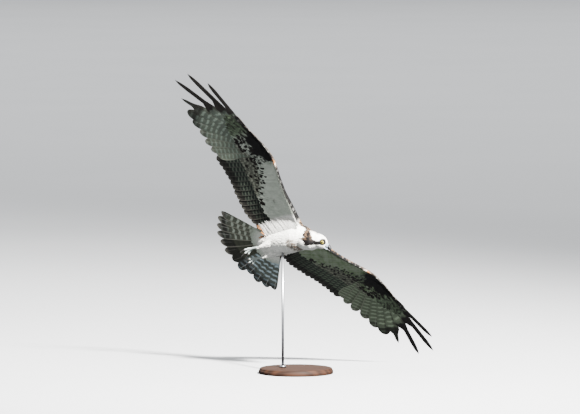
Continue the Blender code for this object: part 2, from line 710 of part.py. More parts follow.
def build_leg(side, torso_cutter):
    """One leg: feathered thigh, foot with four toes, and a claw on each toe."""
    mirror = 1 if side == "left" else -1
    ankle, toe_base = Vector(ANKLE[side]), Vector(TOE_BASE[side])
    root = Vector((LEG_ROOT_X, mirror * LEG_ROOT_Y, LEG_ROOT_Z))
    bulge = (root + ankle) / 2 + Vector((0, 0, -0.006))
    plumage = finish("white_plumage", (0.86, 0.85, 0.81), 0.85)
    scales = finish("foot_skin", (0.62, 0.66, 0.62), 0.55)
    horn = finish("claws", (0.03, 0.03, 0.03), 0.30)
    path = smooth_path((root, bulge, ankle), 4)
    leg = tube("leg_" + side, path, LEG_RADII, 12, plumage)
    cut(leg, torso_cutter)
    along = (path[-1] - path[-2]).normalized()
    start = ankle + along * FIT
    foot = tube("foot_" + side, (start, start + along * 0.006, toe_base),
                (TARSUS_RADIUS, TARSUS_RADIUS, TARSUS_RADIUS), 10, scales)
    toes, claws = [], []
    fans = ((-0.45, -0.25), (-0.05, -0.42), (0.38, -0.30), (0.05, 0.45))
    for index, ((out, drop), length) in enumerate(zip(fans, TOE_LENGTHS)):
        heading = (Vector((-1, mirror * out, drop * 0.6))).normalized()
        knuckle = toe_base + heading * length * 0.5
        bend = (heading + Vector((0, 0, -0.35))).normalized()
        end = knuckle + bend * length * 0.5
        start = toe_base - heading * 0.002
        toes.append(tube("toe", (start, knuckle, end), (TOE_RADIUS, TOE_RADIUS, TOE_RADIUS * 0.85),
                         8, scales))
        direction = (end - knuckle).normalized()
        claw_start = end + direction * FIT
        hook = claw_start + direction * CLAW_LENGTH * 0.55
        point = hook + (direction * 0.35 + Vector((0, 0, -1))).normalized() * CLAW_LENGTH * 0.5
        claw_path = smooth_path((claw_start, hook, point), 6)
        radii = [CLAW_RADIUS * (1 - step / 5) ** 0.8 + 0.0003 for step in range(6)]
        claws.append(tube("claw_%s_%d" % (side, index + 1), claw_path, radii, 8, horn))
    fuse(foot, toes)
    return leg, foot, claws


def build_stand(torso_cutter):
    """Round base, upright rod and the collar at its foot."""
    wood = finish("stand_wood", (0.20, 0.12, 0.07), 0.5)
    steel = finish("stand_steel", (0.55, 0.55, 0.56), 0.3, 1.0)
    outline = ((BASE_RADIUS - BASE_EDGE, 0.0), (BASE_RADIUS, 0.002),
               (BASE_RADIUS, BASE_THICKNESS - BASE_EDGE), (BASE_RADIUS - BASE_EDGE, BASE_THICKNESS))
    turns = [2 * math.pi * step / 56 for step in range(56)]
    rings = [[(r * math.cos(turn), r * math.sin(turn), z) for turn in turns] for r, z in outline]
    base = loft("stand_base", rings, wood)
    socket_floor = BASE_THICKNESS - ROD_SINK
    bore = hide(upright("bore", ROD_RADIUS + FIT, socket_floor, BASE_THICKNESS + 0.01, wood))
    cut(base, bore)
    bpy.data.objects.remove(bore)
    rod = upright("stand_rod", ROD_RADIUS, socket_floor + FIT, FLIGHT_HEIGHT, steel)
    cut(rod, torso_cutter)
    low = BASE_THICKNESS + FIT
    collar = upright("stand_collar", COLLAR_RADIUS, low, low + COLLAR_HEIGHT, steel)
    bore = hide(upright("bore", ROD_RADIUS + FIT, 0.0, BASE_THICKNESS + 0.05, wood))
    cut(collar, bore)
    bpy.data.objects.remove(bore)


def upright(name, radius, low, high, material):
    """A vertical cylinder on the rod's line."""
    turns = [2 * math.pi * step / 24 for step in range(24)]
    rings = []
    for z in (low, high):
        rings.append([(ROD_X + radius * math.cos(t), ROD_Y + radius * math.sin(t), z) for t in turns])
    return loft(name, rings, material)


def build_bird():
    """Every node of the bird, under one empty that banks it."""
    torso = build_torso()
    torso_cutter = swollen(torso, FIT)
    head, eyes = build_head()
    cut(head, torso_cutter)
    head_cutter = swollen(head, FIT)
    bills = build_bill()
    neck = cut(build_neck(), torso_cutter, head_cutter)
    neck_cutter = swollen(neck, FIT)
    nodes = [torso, head, neck, *eyes, *bills, build_tail(torso_cutter)]
    for side in ("right", "left"):
        nodes += build_wing(side, torso_cutter, neck_cutter)
        leg, foot, claws = build_leg(side, torso_cutter)
        nodes += [leg, foot, *claws]
    bpy.data.objects.remove(head_cutter)
    bpy.data.objects.remove(neck_cutter)
    pose = bpy.data.objects.new("bird_pose", None)
    bpy.context.scene.collection.objects.link(pose)
    pose.location = (BIRD_OFFSET_X, BIRD_OFFSET_Y, FLIGHT_HEIGHT)
    pose.rotation_euler = tuple(math.radians(angle) for angle in (BANK, -CLIMB, HEADING))
    for node in (*nodes, torso_cutter):
        node.parent = pose
    return torso_cutter


def main():
    """Builds the model."""
    clear_scene()
    torso_cutter = build_bird()
    build_stand(torso_cutter)
    bpy.data.objects.remove(torso_cutter)


main()
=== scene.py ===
"""Looks of a life-size osprey in a banked glide, held over a round base by one rod.

The bird is built in its own frame, level, facing +X with its left side at +Y and its back at +Z,
and each finished mesh is then turned into the row frame. Lengths are metres and angles degrees.
Every feather is a thin closed vane. Its local coordinates and tones ride along as attributes,
which the finishes turn into bars, spots, shafts and barbs.
"""

import logging
import math
from dataclasses import dataclass, field
from enum import Enum

import bmesh
import bpy
import numpy as np
from mathutils import Euler, Matrix, Vector
from mathutils.bvhtree import BVHTree
from mathutils.kdtree import KDTree

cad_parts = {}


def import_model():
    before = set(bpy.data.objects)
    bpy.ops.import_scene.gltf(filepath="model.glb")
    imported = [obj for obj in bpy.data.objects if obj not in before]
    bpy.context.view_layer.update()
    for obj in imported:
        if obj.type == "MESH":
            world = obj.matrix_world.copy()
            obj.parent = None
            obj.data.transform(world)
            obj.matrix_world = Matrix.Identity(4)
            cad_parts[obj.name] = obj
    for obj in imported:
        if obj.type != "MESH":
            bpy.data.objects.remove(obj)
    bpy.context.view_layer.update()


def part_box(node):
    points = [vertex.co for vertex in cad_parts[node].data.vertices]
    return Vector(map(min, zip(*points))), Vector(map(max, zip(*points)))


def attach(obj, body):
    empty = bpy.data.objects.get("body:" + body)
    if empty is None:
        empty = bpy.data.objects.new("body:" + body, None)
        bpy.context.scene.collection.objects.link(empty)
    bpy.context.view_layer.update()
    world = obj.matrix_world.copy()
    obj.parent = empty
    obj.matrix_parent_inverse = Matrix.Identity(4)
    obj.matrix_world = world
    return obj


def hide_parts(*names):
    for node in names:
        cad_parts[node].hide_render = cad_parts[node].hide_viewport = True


LOG = logging.getLogger("osprey")
BAKE_MAP = "OFBake"
Array = np.ndarray
Piece = bpy.types.Object
Row = tuple[float, ...]
Detail = tuple[Piece, str, str]
CIRCLE = 2 * math.pi


class Side(Enum):
    """A side of the bird, with the sign of its Y."""

    RIGHT = -1
    LEFT = 1


class Face(Enum):
    """A face of a wing or tail, with the sign of its lift."""

    UPPER = 1
    UNDER = -1


class Draw(Enum):
    """What is drawn at random, with the seed of each."""

    ROOTS = 7
    LIE = 11
    LENGTHS = 5
    COVERTS = 31
    COVERT_TONES = 41
    ARMPIT = 51

    def start(self, step: int = 0) -> np.random.Generator:
        """The draws from the first on, which a step changes for the second face."""
        return np.random.default_rng(self.value + step)


def tone(red: int, green: int, blue: int) -> Array:
    """Turns a screen colour of 0 to 255 into the linear colour that a shader uses.

    Args:
        red: red part.
        green: green part.
        blue: blue part.

    Returns:
        Three linear values.
    """
    share = np.array((red, green, blue), float) / 255
    return np.where(share <= 0.04045, share / 12.92, ((share + 0.055) / 1.055) ** 2.4)


def mix(first: Array, second: Array, share: Array) -> Array:
    """Blends two colours, or rows of colours, by a share for each row.

    Args:
        first: colour at share 0.
        second: colour at share 1.
        share: one value a row.

    Returns:
        One colour a row.
    """
    share = np.clip(np.asarray(share, float), 0.0, 1.0)[..., None]
    return first * (1 - share) + second * share


def ramp(value: Array, low: float, high: float) -> Array:
    """A smooth step from 0 at low to 1 at high."""
    share = np.clip((np.asarray(value, float) - low) / (high - low), 0.0, 1.0)
    return share * share * (3 - 2 * share)


def unit(rows: Array) -> Array:
    """Vectors of length one."""
    return rows / np.maximum(np.linalg.norm(rows, axis=-1, keepdims=True), 1e-12)


def circle(sides: int) -> Array:
    """Angles evenly round a ring."""
    return np.linspace(0.0, CIRCLE, sides, endpoint=False)


def mirrored(place: Row, side: Side) -> Array:
    """A place that is given for the left side, moved to either side."""
    return np.array(place) * (1, side.value, 1)


def line_at(line: tuple[Row, ...], s: Array) -> Array:
    """X of a line over a wing, at distances out."""
    return np.interp(s, *np.array(line).T)


def within(value: Array, span: Row) -> Array:
    """Where values lie in a span that is given by its start and length, as a share."""
    return (value - span[0]) / span[1]


def rolled(points: Array, axis: float = 0.0) -> Array:
    """Which way places lie from a line along X at a height, as a share of a circle."""
    return np.arctan2(points[:, 1], points[:, 2] - axis) / CIRCLE + 0.5


def gather(laid: list[dict[Face, Array]]) -> dict[Face, Array]:
    """One array a face, from the points of single feathers."""
    return {face: np.array([one[face] for one in laid]) for face in Face}


class Sock:
    """A shader socket that takes part in Python expressions, each of which adds its Math node."""

    def __init__(self, shader: "Shader", socket: bpy.types.NodeSocket) -> None:
        """Keeps the socket and the shader that it belongs to.

        Args:
            shader: the graph that new nodes go into.
            socket: the output that this stands for.
        """
        self.shader = shader
        self.socket = socket

    def math(self, operation: str, *others: "Sock | float") -> "Sock":
        """Adds a Math node that takes this value first."""
        inputs = dict(enumerate((self, *others)))
        return self.shader.node("ShaderNodeMath", {"operation": operation}, inputs)

    def __add__(self, other: "Sock | float") -> "Sock":
        """This value plus another."""
        return self.math("ADD", other)

    def __radd__(self, other: float) -> "Sock":
        """A number plus this value."""
        return self.math("ADD", other)

    def __sub__(self, other: "Sock | float") -> "Sock":
        """This value minus another."""
        return self.math("SUBTRACT", other)

    def __rsub__(self, other: float) -> "Sock":
        """A number minus this value."""
        inputs = {0: other, 1: self}
        return self.shader.node("ShaderNodeMath", {"operation": "SUBTRACT"}, inputs)

    def __mul__(self, other: "Sock | float") -> "Sock":
        """This value times another."""
        return self.math("MULTIPLY", other)

    def __rmul__(self, other: float) -> "Sock":
        """A number times this value."""
        return self.math("MULTIPLY", other)

    def __truediv__(self, other: "Sock | float") -> "Sock":
        """This value divided by another."""
        return self.math("DIVIDE", other)

    def __abs__(self) -> "Sock":
        """This value without its sign."""
        return self.math("ABSOLUTE")

    def sine(self) -> "Sock":
        """The sine of this value in radians."""
        return self.math("SINE")

    def step(self, low: float, high: float) -> "Sock":
        """A smooth step from 0 at low to 1 at high, falling where low is above high.

        Args:
            low: where the step starts.
            high: where it ends.

        Returns:
            The step from 0 to 1.
        """
        settings = {"interpolation_type": "SMOOTHSTEP"}
        bounds = (min(low, high), max(low, high))
        ends = (0.0, 1.0) if low < high else (1.0, 0.0)
        inputs = {"Value": self, "From Min": bounds[0], "From Max": bounds[1]}
        inputs |= {"To Min": ends[0], "To Max": ends[1]}
        return self.shader.node("ShaderNodeMapRange", settings, inputs)


class Shader:
    """A material's node graph, written as expressions on sockets."""

    def __init__(self, name: str) -> None:
        """Starts a material with one Principled shader.

        Args:
            name: the material's name.
        """
        self.material = bpy.data.materials.new(name)
        self.material.use_nodes = True
        self.tree = self.material.node_tree
        self.surface = self.tree.nodes["Principled BSDF"]

    def node(self, kind: str, settings: dict, inputs: dict, output: int | str = 0) -> Sock:
        """Adds one node.

        Args:
            kind: the node's type.
            settings: attributes, which are set first.
            inputs: a value or a Sock for each input, by name or number.
            output: the output that is wanted.

        Returns:
            The output as a Sock.
        """
        made = self.tree.nodes.new(kind)
        for key, value in settings.items():
            setattr(made, key, value)
        for key, value in inputs.items():
            self.feed(made.inputs[key], value)
        return Sock(self, made.outputs[output])

    def feed(self, socket: bpy.types.NodeSocket, value: object) -> None:
        """Links a Sock to an input, or sets the input's value.

        Args:
            socket: the input.
            value: a Sock, a colour, a vector or a number.
        """
        if isinstance(value, Sock):
            self.tree.links.new(value.socket, socket)
        elif isinstance(value, (tuple, list, np.ndarray)):
            row = [float(part) for part in value]
            wide = socket.type == "RGBA" and len(row) == 3
            socket.default_value = (*row, 1.0) if wide else row
        else:
            socket.default_value = value

    def attribute(self, name: str, output: str) -> Sock:
        """Reads a mesh attribute."""
        settings = {"attribute_type": "GEOMETRY", "attribute_name": name}
        return self.node("ShaderNodeAttribute", settings, {}, output)

    def parts(self, vector: Sock) -> tuple[Sock, Sock, Sock]:
        """Splits a vector into its three values.

        Args:
            vector: the vector.

        Returns:
            X, Y and Z.
        """
        made = self.tree.nodes.new("ShaderNodeSeparateXYZ")
        self.feed(made.inputs[0], vector)
        return tuple(Sock(self, made.outputs[part]) for part in range(3))

    def vector(self, x: Sock | float, y: Sock | float, z: Sock | float) -> Sock:
        """Joins three values into a vector."""
        return self.node("ShaderNodeCombineXYZ", {}, {0: x, 1: y, 2: z})

    def blend(self, first: object, second: object, share: Sock | float, way: str = "MIX") -> Sock:
        """Blends two colours by a share."""
        settings = {"data_type": "RGBA", "blend_type": way}
        return self.node("ShaderNodeMix", settings, {0: share, 6: first, 7: second}, 2)

    def place(self) -> Sock:
        """The place on the piece, in metres."""
        return self.node("ShaderNodeTexCoord", {}, {}, "Object")

    def noise(self, where: Sock, scale: float, detail: float = 2.0, output: str = "Fac") -> Sock:
        """Smooth noise at a place, by scale and number of octaves."""
        inputs = {"Vector": where, "Scale": scale, "Detail": detail}
        return self.node("ShaderNodeTexNoise", {}, inputs, output)

    def bump(self, height: Sock, distance: float, strength: float = 1.0) -> None:
        """Feeds a height to the surface's normal."""
        inputs = {"Height": height, "Distance": distance, "Strength": strength}
        self.dress(Normal=self.node("ShaderNodeBump", {}, inputs))

    def dress(self, **inputs: object) -> None:
        """Sets the Principled shader's inputs, with underscores for the spaces in their names."""
        for key, value in inputs.items():
            self.feed(self.surface.inputs[key.replace("_", " ")], value)


@dataclass(frozen=True)
class Finish:
    """A named material, which each kind of finish paints in its own way."""

    name: str

    def material(self) -> bpy.types.Material:
        """Builds the material.

        Returns:
            The material.
        """
        shader = Shader(self.name)
        self.paint(shader)
        return shader.material

    def paint(self, shader: Shader) -> None:
        """Adds the nodes of the finish, which a plain one has none of."""


@dataclass(frozen=True)
class FeatherFinish(Finish):
    """Vanes with barbs and a shaft, whose bars, spots, tips and fringes come from attributes.

    Attributes:
        roughness: how matt the vanes are.
        barbs: how many ridges a vane has along its length.
        relief: height of the ridges.
        shaft: half the shaft's width, as a share of the vane's.
        soot: colour of blots.
        night: colour of dark tips.
        hems: colours of the darkest and the palest fringe; the darkest, tan, on the white trunk
            feathers is painted shade between them.
        bone: colour of pale shafts.
    """

    roughness: float = 0.62
    barbs: float = 30.0
    relief: float = 0.00010
    shaft: float = 0.05
    soot: tuple[int, int, int] = (26, 21, 18)
    night: tuple[int, int, int] = (30, 28, 26)
    hems: tuple[tuple[int, int, int], ...] = ((150, 118, 84), (228, 222, 206))
    bone: tuple[int, int, int] = (236, 234, 226)

    def paint(self, shader: Shader) -> None:
        """Adds the nodes of this finish.

        Args:
            shader: the material to paint.
        """
        along, across, seed = shader.parts(shader.attribute("quill", "Vector"))
        count, phase, strength = shader.parts(shader.attribute("bars", "Vector"))
        start, darkness, fringe = shader.parts(shader.attribute("tips", "Vector"))
        centre, radius, depth = shader.parts(shader.attribute("spot", "Vector"))
        pale, web, edge_tone = shader.parts(shader.attribute("wear", "Vector"))
        tint = shader.attribute("tone", "Color")
        mark = shader.attribute("mark", "Color")
        out = abs(across)
        place = shader.vector(along * 3.0, across * 1.2, seed * 37.0)
        wander = shader.noise(place, 1.6) - 0.5
        turn = along * count + phase + wander * 0.45 - out * 0.20
        margin = out.step(0.62, 0.86) * 0.8
        bars = (turn * CIRCLE).sine().step(-0.75, -0.05).math("MAXIMUM", margin) * strength
        bars = bars * along.step(0.20, 0.32)
        colour = shader.blend(tint, mark, bars)
        outer = (across * web).step(0.0, 0.12) * abs(web)
        colour = shader.blend(colour, mark, outer)
        far = ((along - centre) / radius).math("POWER", 2.0) + (across * 0.85).math("POWER", 2.0)
        blot = (far + wander * 0.7).step(1.05, 0.75) * depth
        colour = shader.blend(colour, tone(*self.soot), blot)
        dark = (along + wander * 0.05 - start).step(-0.02, 0.05) * darkness
        colour = shader.blend(colour, tone(*self.night), dark)
        rim = out.math("MAXIMUM", (along - 0.55) * 2.2)
        edge = (rim + wander * 0.2).step(0.74, 0.98) * fringe
        hem = shader.blend(*(tone(*ends) for ends in self.hems), edge_tone)
        colour = shader.blend(colour, hem, edge)
        streak = shader.noise(shader.vector(along * 2.0, across * 9.0, seed * 53.0), 2.2, 3.0)
        colour = shader.blend(colour, streak * 0.44 + 0.78, 1.0, "MULTIPLY")
        quill = out.step(self.shaft, 0.0)
        colour = shader.blend(colour, mark, quill * (1.0 - pale) * 0.5)
        glow = out.step(0.070, 0.015) * along.step(0.70, 0.80) * along.step(0.985, 0.95) * pale
        colour = shader.blend(colour, tone(*self.bone), glow)
        fine = ((along * self.barbs + out * (self.barbs * 0.45)) * CIRCLE).sine()
        shader.bump(fine * 0.5 + quill * 2.0 + streak, self.relief, 0.7)
        shader.dress(Base_Color=colour, Roughness=self.roughness, Specular_IOR_Level=0.14)


@dataclass(frozen=True)
class SkinFinish(Finish):
    """The down under the feathers, tinted as the coat over it."""

    roughness: float = 0.85
    fluff: float = 420.0

    def paint(self, shader: Shader) -> None:
        """Adds the nodes of this finish.

        Args:
            shader: the material to paint.
        """
        tint = shader.attribute("tone", "Color")
        place = shader.attribute("home", "Vector")
        down = shader.noise(place, self.fluff, 4.0)
        shade = shader.blend(tint, down * 0.6 + 0.62, 1.0, "MULTIPLY")
        shader.bump(down, 0.0006, 0.6)
        shader.dress(Base_Color=shade, Roughness=self.roughness, Specular_IOR_Level=0.1)


@dataclass(frozen=True)
class PaintedFinish(Finish):
    """A surface whose colour is an attribute of its mesh, with a fine grain."""

    roughness: float = 0.5
    grain: float = 700.0
    relief: float = 0.0002
    coat: float = 0.0
    specular: float = 0.5

    def paint(self, shader: Shader) -> None:
        """Adds the nodes of this finish.

        Args:
            shader: the material to paint.
        """
        tint = shader.attribute("tone", "Color")
        place = shader.place()
        grain = shader.noise(place, self.grain, 3.0)
        colour = shader.blend(tint, grain * 0.35 + 0.82, 1.0, "MULTIPLY")
        shader.bump(grain, self.relief, 0.5)
        shader.dress(Base_Color=colour, Roughness=self.roughness)
        shader.dress(Coat_Weight=self.coat, Coat_Roughness=0.03, Specular_IOR_Level=self.specular)


@dataclass(frozen=True)
class WoodFinish(Finish):
    """Dark oiled wood with rings round the base's own turning line."""

    name: str = "walnut"
    rings: float = 34.0
    light: tuple[int, int, int] = (50, 31, 21)
    dark: tuple[int, int, int] = (32, 20, 14)
    pores: tuple[int, int, int] = (20, 13, 9)

    def paint(self, shader: Shader) -> None:
        """Adds the nodes of this finish.

        Args:
            shader: the material to paint.
        """
        place = shader.place()
        x, y, z = shader.parts(place)
        warp = shader.noise(shader.vector(x * 1.0, y * 6.0, z * 6.0), 3.0, 3.0)
        grain = ((y * self.rings + warp * 1.6) * CIRCLE).sine() * 0.5 + 0.5
        fibre = shader.noise(shader.vector(x * 12.0, y * 260.0, z * 260.0), 1.0, 4.0)
        base = shader.blend(tone(*self.light), tone(*self.dark), grain)
        colour = shader.blend(base, tone(*self.pores), fibre.step(0.5, 0.8) * 0.6)
        shader.bump(fibre * 0.5 + grain * 0.5, 0.0003, 0.4)
        shader.dress(Base_Color=colour, Roughness=fibre * 0.15 + 0.60, Specular_IOR_Level=0.12)


@dataclass(frozen=True)
class SteelFinish(Finish):
    """Brushed steel with fine lines round the rod."""

    name: str = "brushed_steel"

    def paint(self, shader: Shader) -> None:
        """Adds the nodes of this finish.

        Args:
            shader: the material to paint.
        """
        place = shader.place()
        x, y, z = shader.parts(place)
        lines = shader.noise(shader.vector(x * 40.0, y * 40.0, z * 2600.0), 1.0, 2.0)
        colour = shader.blend(tone(196, 198, 202), tone(150, 152, 156), lines)
        shader.bump(lines, 0.0001, 0.25)
        shader.dress(Base_Color=colour, Metallic=1.0, Roughness=lines * 0.2 + 0.24)


@dataclass(frozen=True)
class FloorFinish(Finish):
    """A matt pale studio floor."""

    name: str = "studio_floor"

    def paint(self, shader: Shader) -> None:
        """Adds the nodes of this finish.

        Args:
            shader: the material to paint.
        """
        place = shader.place()
        cloud = shader.noise(place, 0.6, 3.0)
        shader.dress(Base_Color=shader.blend(tone(176, 178, 180), tone(184, 185, 187), cloud))
        shader.dress(Roughness=0.9, Specular_IOR_Level=0.1)


@dataclass(frozen=True)
class Pose:
    """How the level bird is turned and lifted over its base."""

    heading: float = -44.4
    climb: float = 14.7
    bank: float = -48.3
    height: float = 0.532

    def matrix(self) -> Matrix:
        """The move from the bird's own frame to the row frame.

        Returns:
            The move.
        """
        angles = (self.bank, -self.climb, self.heading)
        turn = Euler(tuple(math.radians(angle) for angle in angles)).to_matrix()
        return Matrix.Translation((0.0, 0.0, self.height)) @ turn.to_4x4()


@dataclass
class Tones:
    """Colours and marks of feathers, one row a feather, or for the colour one row a point.

    bars holds how many bars there are, where they start and how dark they are. tips holds where
    the dark tip starts, how dark it is and how strong the fringe is. spot holds a blot's place,
    radius and darkness. wear holds how pale the shaft is, how dark the outer vane is, with the
    sign of its side, and how pale the fringe is.
    """

    main: Array
    mark: Array
    bars: Array
    tips: Array
    spot: Array
    wear: Array

    @classmethod
    def of(cls, main: Array, mark: Array | None = None) -> "Tones":
        """Plain feathers of one colour a row, whose marks are set afterwards.

        Args:
            main: colour of each feather or point.
            mark: colour of the marks, or None for a darker main colour.

        Returns:
            Their tones.
        """
        count = len(main)
        mark = main * 0.75 if mark is None else np.broadcast_to(mark, main.shape).copy()
        rows = [np.tile(row, (count, 1)) for row in
                ((0.0, 0.0, 0.0), (2.0, 0.0, 0.0), (0.6, 0.2, 0.0), (0.0, 0.0, 1.0))]
        return cls(main, mark, *rows)

    def rows(self) -> dict[str, Array]:
        """The arrays by the names of their attributes."""
        return {"tone": self.main, "mark": self.mark, "bars": self.bars, "tips": self.tips,
                "spot": self.spot, "wear": self.wear}

    def blend(self, other: "Tones", share: Array) -> "Tones":
        """These tones turned into others by a share for each feather.

        Args:
            other: the tones at share 1.
            share: one value a feather.

        Returns:
            The tones between.
        """
        share = np.asarray(share, float)[:, None]
        pairs = zip(self.rows().values(), other.rows().values())
        return Tones(*(first * (1 - share) + second * share for first, second in pairs))

    def pick(self, chosen: Array) -> "Tones":
        """The rows of some feathers."""
        return Tones(*(values[chosen] for values in self.rows().values()))


@dataclass
class Vanes:
    """Feathers of one row count, as points of both faces and their colours.

    Each array of points runs by feather, row along, column across and axis. An island gives
    each feather its own strip of the baking map, and otherwise a patch at its home.
    """

    points: dict[Face, Array]
    tones: dict[Face, Tones]
    home: Array
    across: Row
    along: Array
    island: bool = False
    patch: float = 0.0015

    def patches(self, face: Face) -> Array:
        """Each feather's place on the baking map.

        Args:
            face: the face that the place is for.

        Returns:
            Low u, low v, high u and high v for each feather.
        """
        count = len(self.home)
        if self.island:
            low = np.arange(count) / count
            base = 0.505 if face is Face.UPPER else 0.005
            starts = (low + 0.04 / count, np.full(count, base))
            ends = (low + 0.96 / count, np.full(count, base + 0.49))
            return np.stack((*starts, *ends), -1)
        half = self.patch
        u, v = (0.004 + 0.992 * np.clip(self.home, 0.0, 1.0)).T
        low, high = (u - half, u) if face is Face.UPPER else (u, u + half)
        return np.stack((low, v - half, high, v + half), -1)

    def build(self, name: str, pose: Matrix, material: bpy.types.Material) -> Piece:
        """Makes one mesh of the feathers.

        Args:
            name: the piece's name.
            pose: the move to the row frame.
            material: the feathers' finish.

        Returns:
            The piece.
        """
        count, rows, columns = self.points[Face.UPPER].shape[:3]
        shape = (count, rows, columns)
        along = self.along[None, :, None]
        offset = np.array(self.across)[None, None]
        seed = np.mod(np.arange(count) * 0.61803, 1.0)[:, None, None]
        quill = np.stack(np.broadcast_arrays(along, offset, seed), -1).reshape(-1, 3)
        maps = []
        values: dict[str, list[Array]] = {}
        for face in Face:
            box = self.patches(face)[:, None, None]
            u = box[..., 0] + (box[..., 2] - box[..., 0]) * (offset + 1) / 2
            v = box[..., 1] + (box[..., 3] - box[..., 1]) * along
            maps.append(np.stack((np.broadcast_to(u, shape), np.broadcast_to(v, shape)), -1))
            for key, found in self.tones[face].rows().items():
                each = 1 if len(found) == count * rows * columns else rows * columns
                values.setdefault(key, []).append(np.repeat(found, each, axis=0))
        faces = self.faces(count, rows, columns)
        points = np.concatenate([self.points[face].reshape(-1, 3) for face in Face])
        mesh = mesh_of(name, points, faces, pose)
        layer = mesh.uv_layers.new(name=BAKE_MAP)
        flat = np.concatenate([corners.reshape(-1, 2) for corners in maps])
        layer.data.foreach_set("uv", flat[faces.reshape(-1)].astype(np.float32).reshape(-1))
        store(mesh, "quill", np.concatenate((quill, quill)))
        for key, found in values.items():
            store(mesh, key, np.concatenate(found))
        return piece_of(name, mesh, material)

    def faces(self, count: int, rows: int, columns: int) -> Array:
        """Quads of both faces of every vane, all turned outwards.

        Args:
            count: how many feathers there are.
            rows: points along each.
            columns: points across each.

        Returns:
            The corners of each quad.
        """
        row, column = np.meshgrid(np.arange(rows - 1), np.arange(columns - 1), indexing="ij")
        corner = (row * columns + column).reshape(-1)
        quad = np.stack((corner, corner + 1, corner + columns + 1, corner + columns), -1)
        first = ((np.arange(count) * rows * columns)[:, None, None] + quad[None]).reshape(-1, 4)
        upper, under = self.points[Face.UPPER], self.points[Face.UNDER]
        middle, half = columns // 2, rows // 2
        broad = upper[:, half, -1] - upper[:, half, 0]
        turn = np.cross(broad, upper[:, -1, middle] - upper[:, 0, middle])
        out = upper[:, half, middle] - under[:, half, middle]
        facing = np.repeat(np.sum(turn * out, -1) > 0, (rows - 1) * (columns - 1))
        ahead = np.where(facing[:, None], first, first[:, ::-1])
        return np.concatenate((ahead, ahead[:, ::-1] + count * rows * columns))


def mesh_of(name: str, points: Array, faces: Array, pose: Matrix) -> bpy.types.Mesh:
    """Makes a smooth mesh from arrays and moves it into the row frame.

    Args:
        name: the mesh's name.
        points: one row a vertex.
        faces: one row a face, all with as many corners.
        pose: the move to the row frame.

    Returns:
        The mesh.
    """
    mesh = bpy.data.meshes.new(name)
    corners = faces.shape[1]
    mesh.vertices.add(len(points))
    mesh.vertices.foreach_set("co", points.astype(np.float32).reshape(-1))
    mesh.loops.add(faces.size)
    mesh.loops.foreach_set("vertex_index", faces.astype(np.int32).reshape(-1))
    mesh.polygons.add(len(faces))
    mesh.polygons.foreach_set("loop_start", np.arange(0, faces.size, corners, dtype=np.int32))
    mesh.update(calc_edges=True)
    mesh.shade_smooth()
    mesh.transform(pose)
    return mesh


def store(mesh: bpy.types.Mesh, name: str, values: Array) -> None:
    """Keeps one vector or colour a vertex as an attribute.

    Args:
        mesh: the mesh.
        name: the attribute's name.
        values: three numbers a vertex.
    """
    colour = name in ("tone", "mark")
    made = mesh.attributes.new(name, "FLOAT_COLOR" if colour else "FLOAT_VECTOR", "POINT")
    if colour:
        values = np.concatenate((values, np.ones((len(values), 1))), -1)
    field_name = "color" if colour else "vector"
    made.data.foreach_set(field_name, values.astype(np.float32).reshape(-1))


def face_out(mesh: bpy.types.Mesh) -> None:
    """Turns the faces of closed bodies outwards.

    Args:
        mesh: the mesh that holds the bodies.
    """
    shape = bmesh.new()
    shape.from_mesh(mesh)
    bmesh.ops.recalc_face_normals(shape, faces=shape.faces)
    shape.to_mesh(mesh)
    shape.free()


def piece_of(name: str, mesh: bpy.types.Mesh, material: bpy.types.Material) -> Piece:
    """Puts a mesh in the scene with its finish.

    Args:
        name: the piece's name.
        mesh: its mesh.
        material: the piece's finish.

    Returns:
        The piece.
    """
    mesh.materials.append(material)
    made = bpy.data.objects.new(name, mesh)
    bpy.context.scene.collection.objects.link(made)
    return made


@dataclass(frozen=True)
class Outline:
    """How wide a vane is along its length, as shares of its full width, with a round end."""

    places: Row
    widths: Row
    round_from: float

    def at(self, along: Array) -> Array:
        """The width share at each share of the length.

        Args:
            along: shares of the length.

        Returns:
            Shares of the full width.
        """
        broad = np.interp(along, self.places, self.widths)
        end = np.clip((along - self.round_from) / (1 - self.round_from), 0.0, 1.0)
        return broad * np.sqrt(1 - 0.994 * end ** 2)


# Where the baking map of head, trunk and wing starts and how much it shows, all in metres.
HEAD_MAP = (-0.14, 0.175)
TRUNK_MAP = (-0.24, 0.34)
WING_MAP = (-0.10, 0.225)
WING_REACH = 0.5
TRUNK_AXIS = -0.012
# Outlines of small feathers, flight feathers, coverts and tail feathers.
CONTOUR = Outline((0.0, 0.30, 0.60, 1.0), (0.40, 0.95, 1.0, 0.62), 0.50)
REMEX = Outline((0.0, 0.40, 0.78, 1.0), (0.45, 0.88, 1.0, 0.90), 0.86)
COVERT = Outline((0.0, 0.40, 0.78, 1.0), (0.50, 0.9, 1.0, 0.92), 0.74)
RECTRIX = Outline((0.0, 0.45, 0.82, 1.0), (0.30, 0.75, 1.0, 0.95), 0.86)


def tipward(rows: int) -> Array:
    """Shares of a length that lie closer together towards its end."""
    return 1 - (1 - np.linspace(0.0, 1.0, rows)) ** 1.7


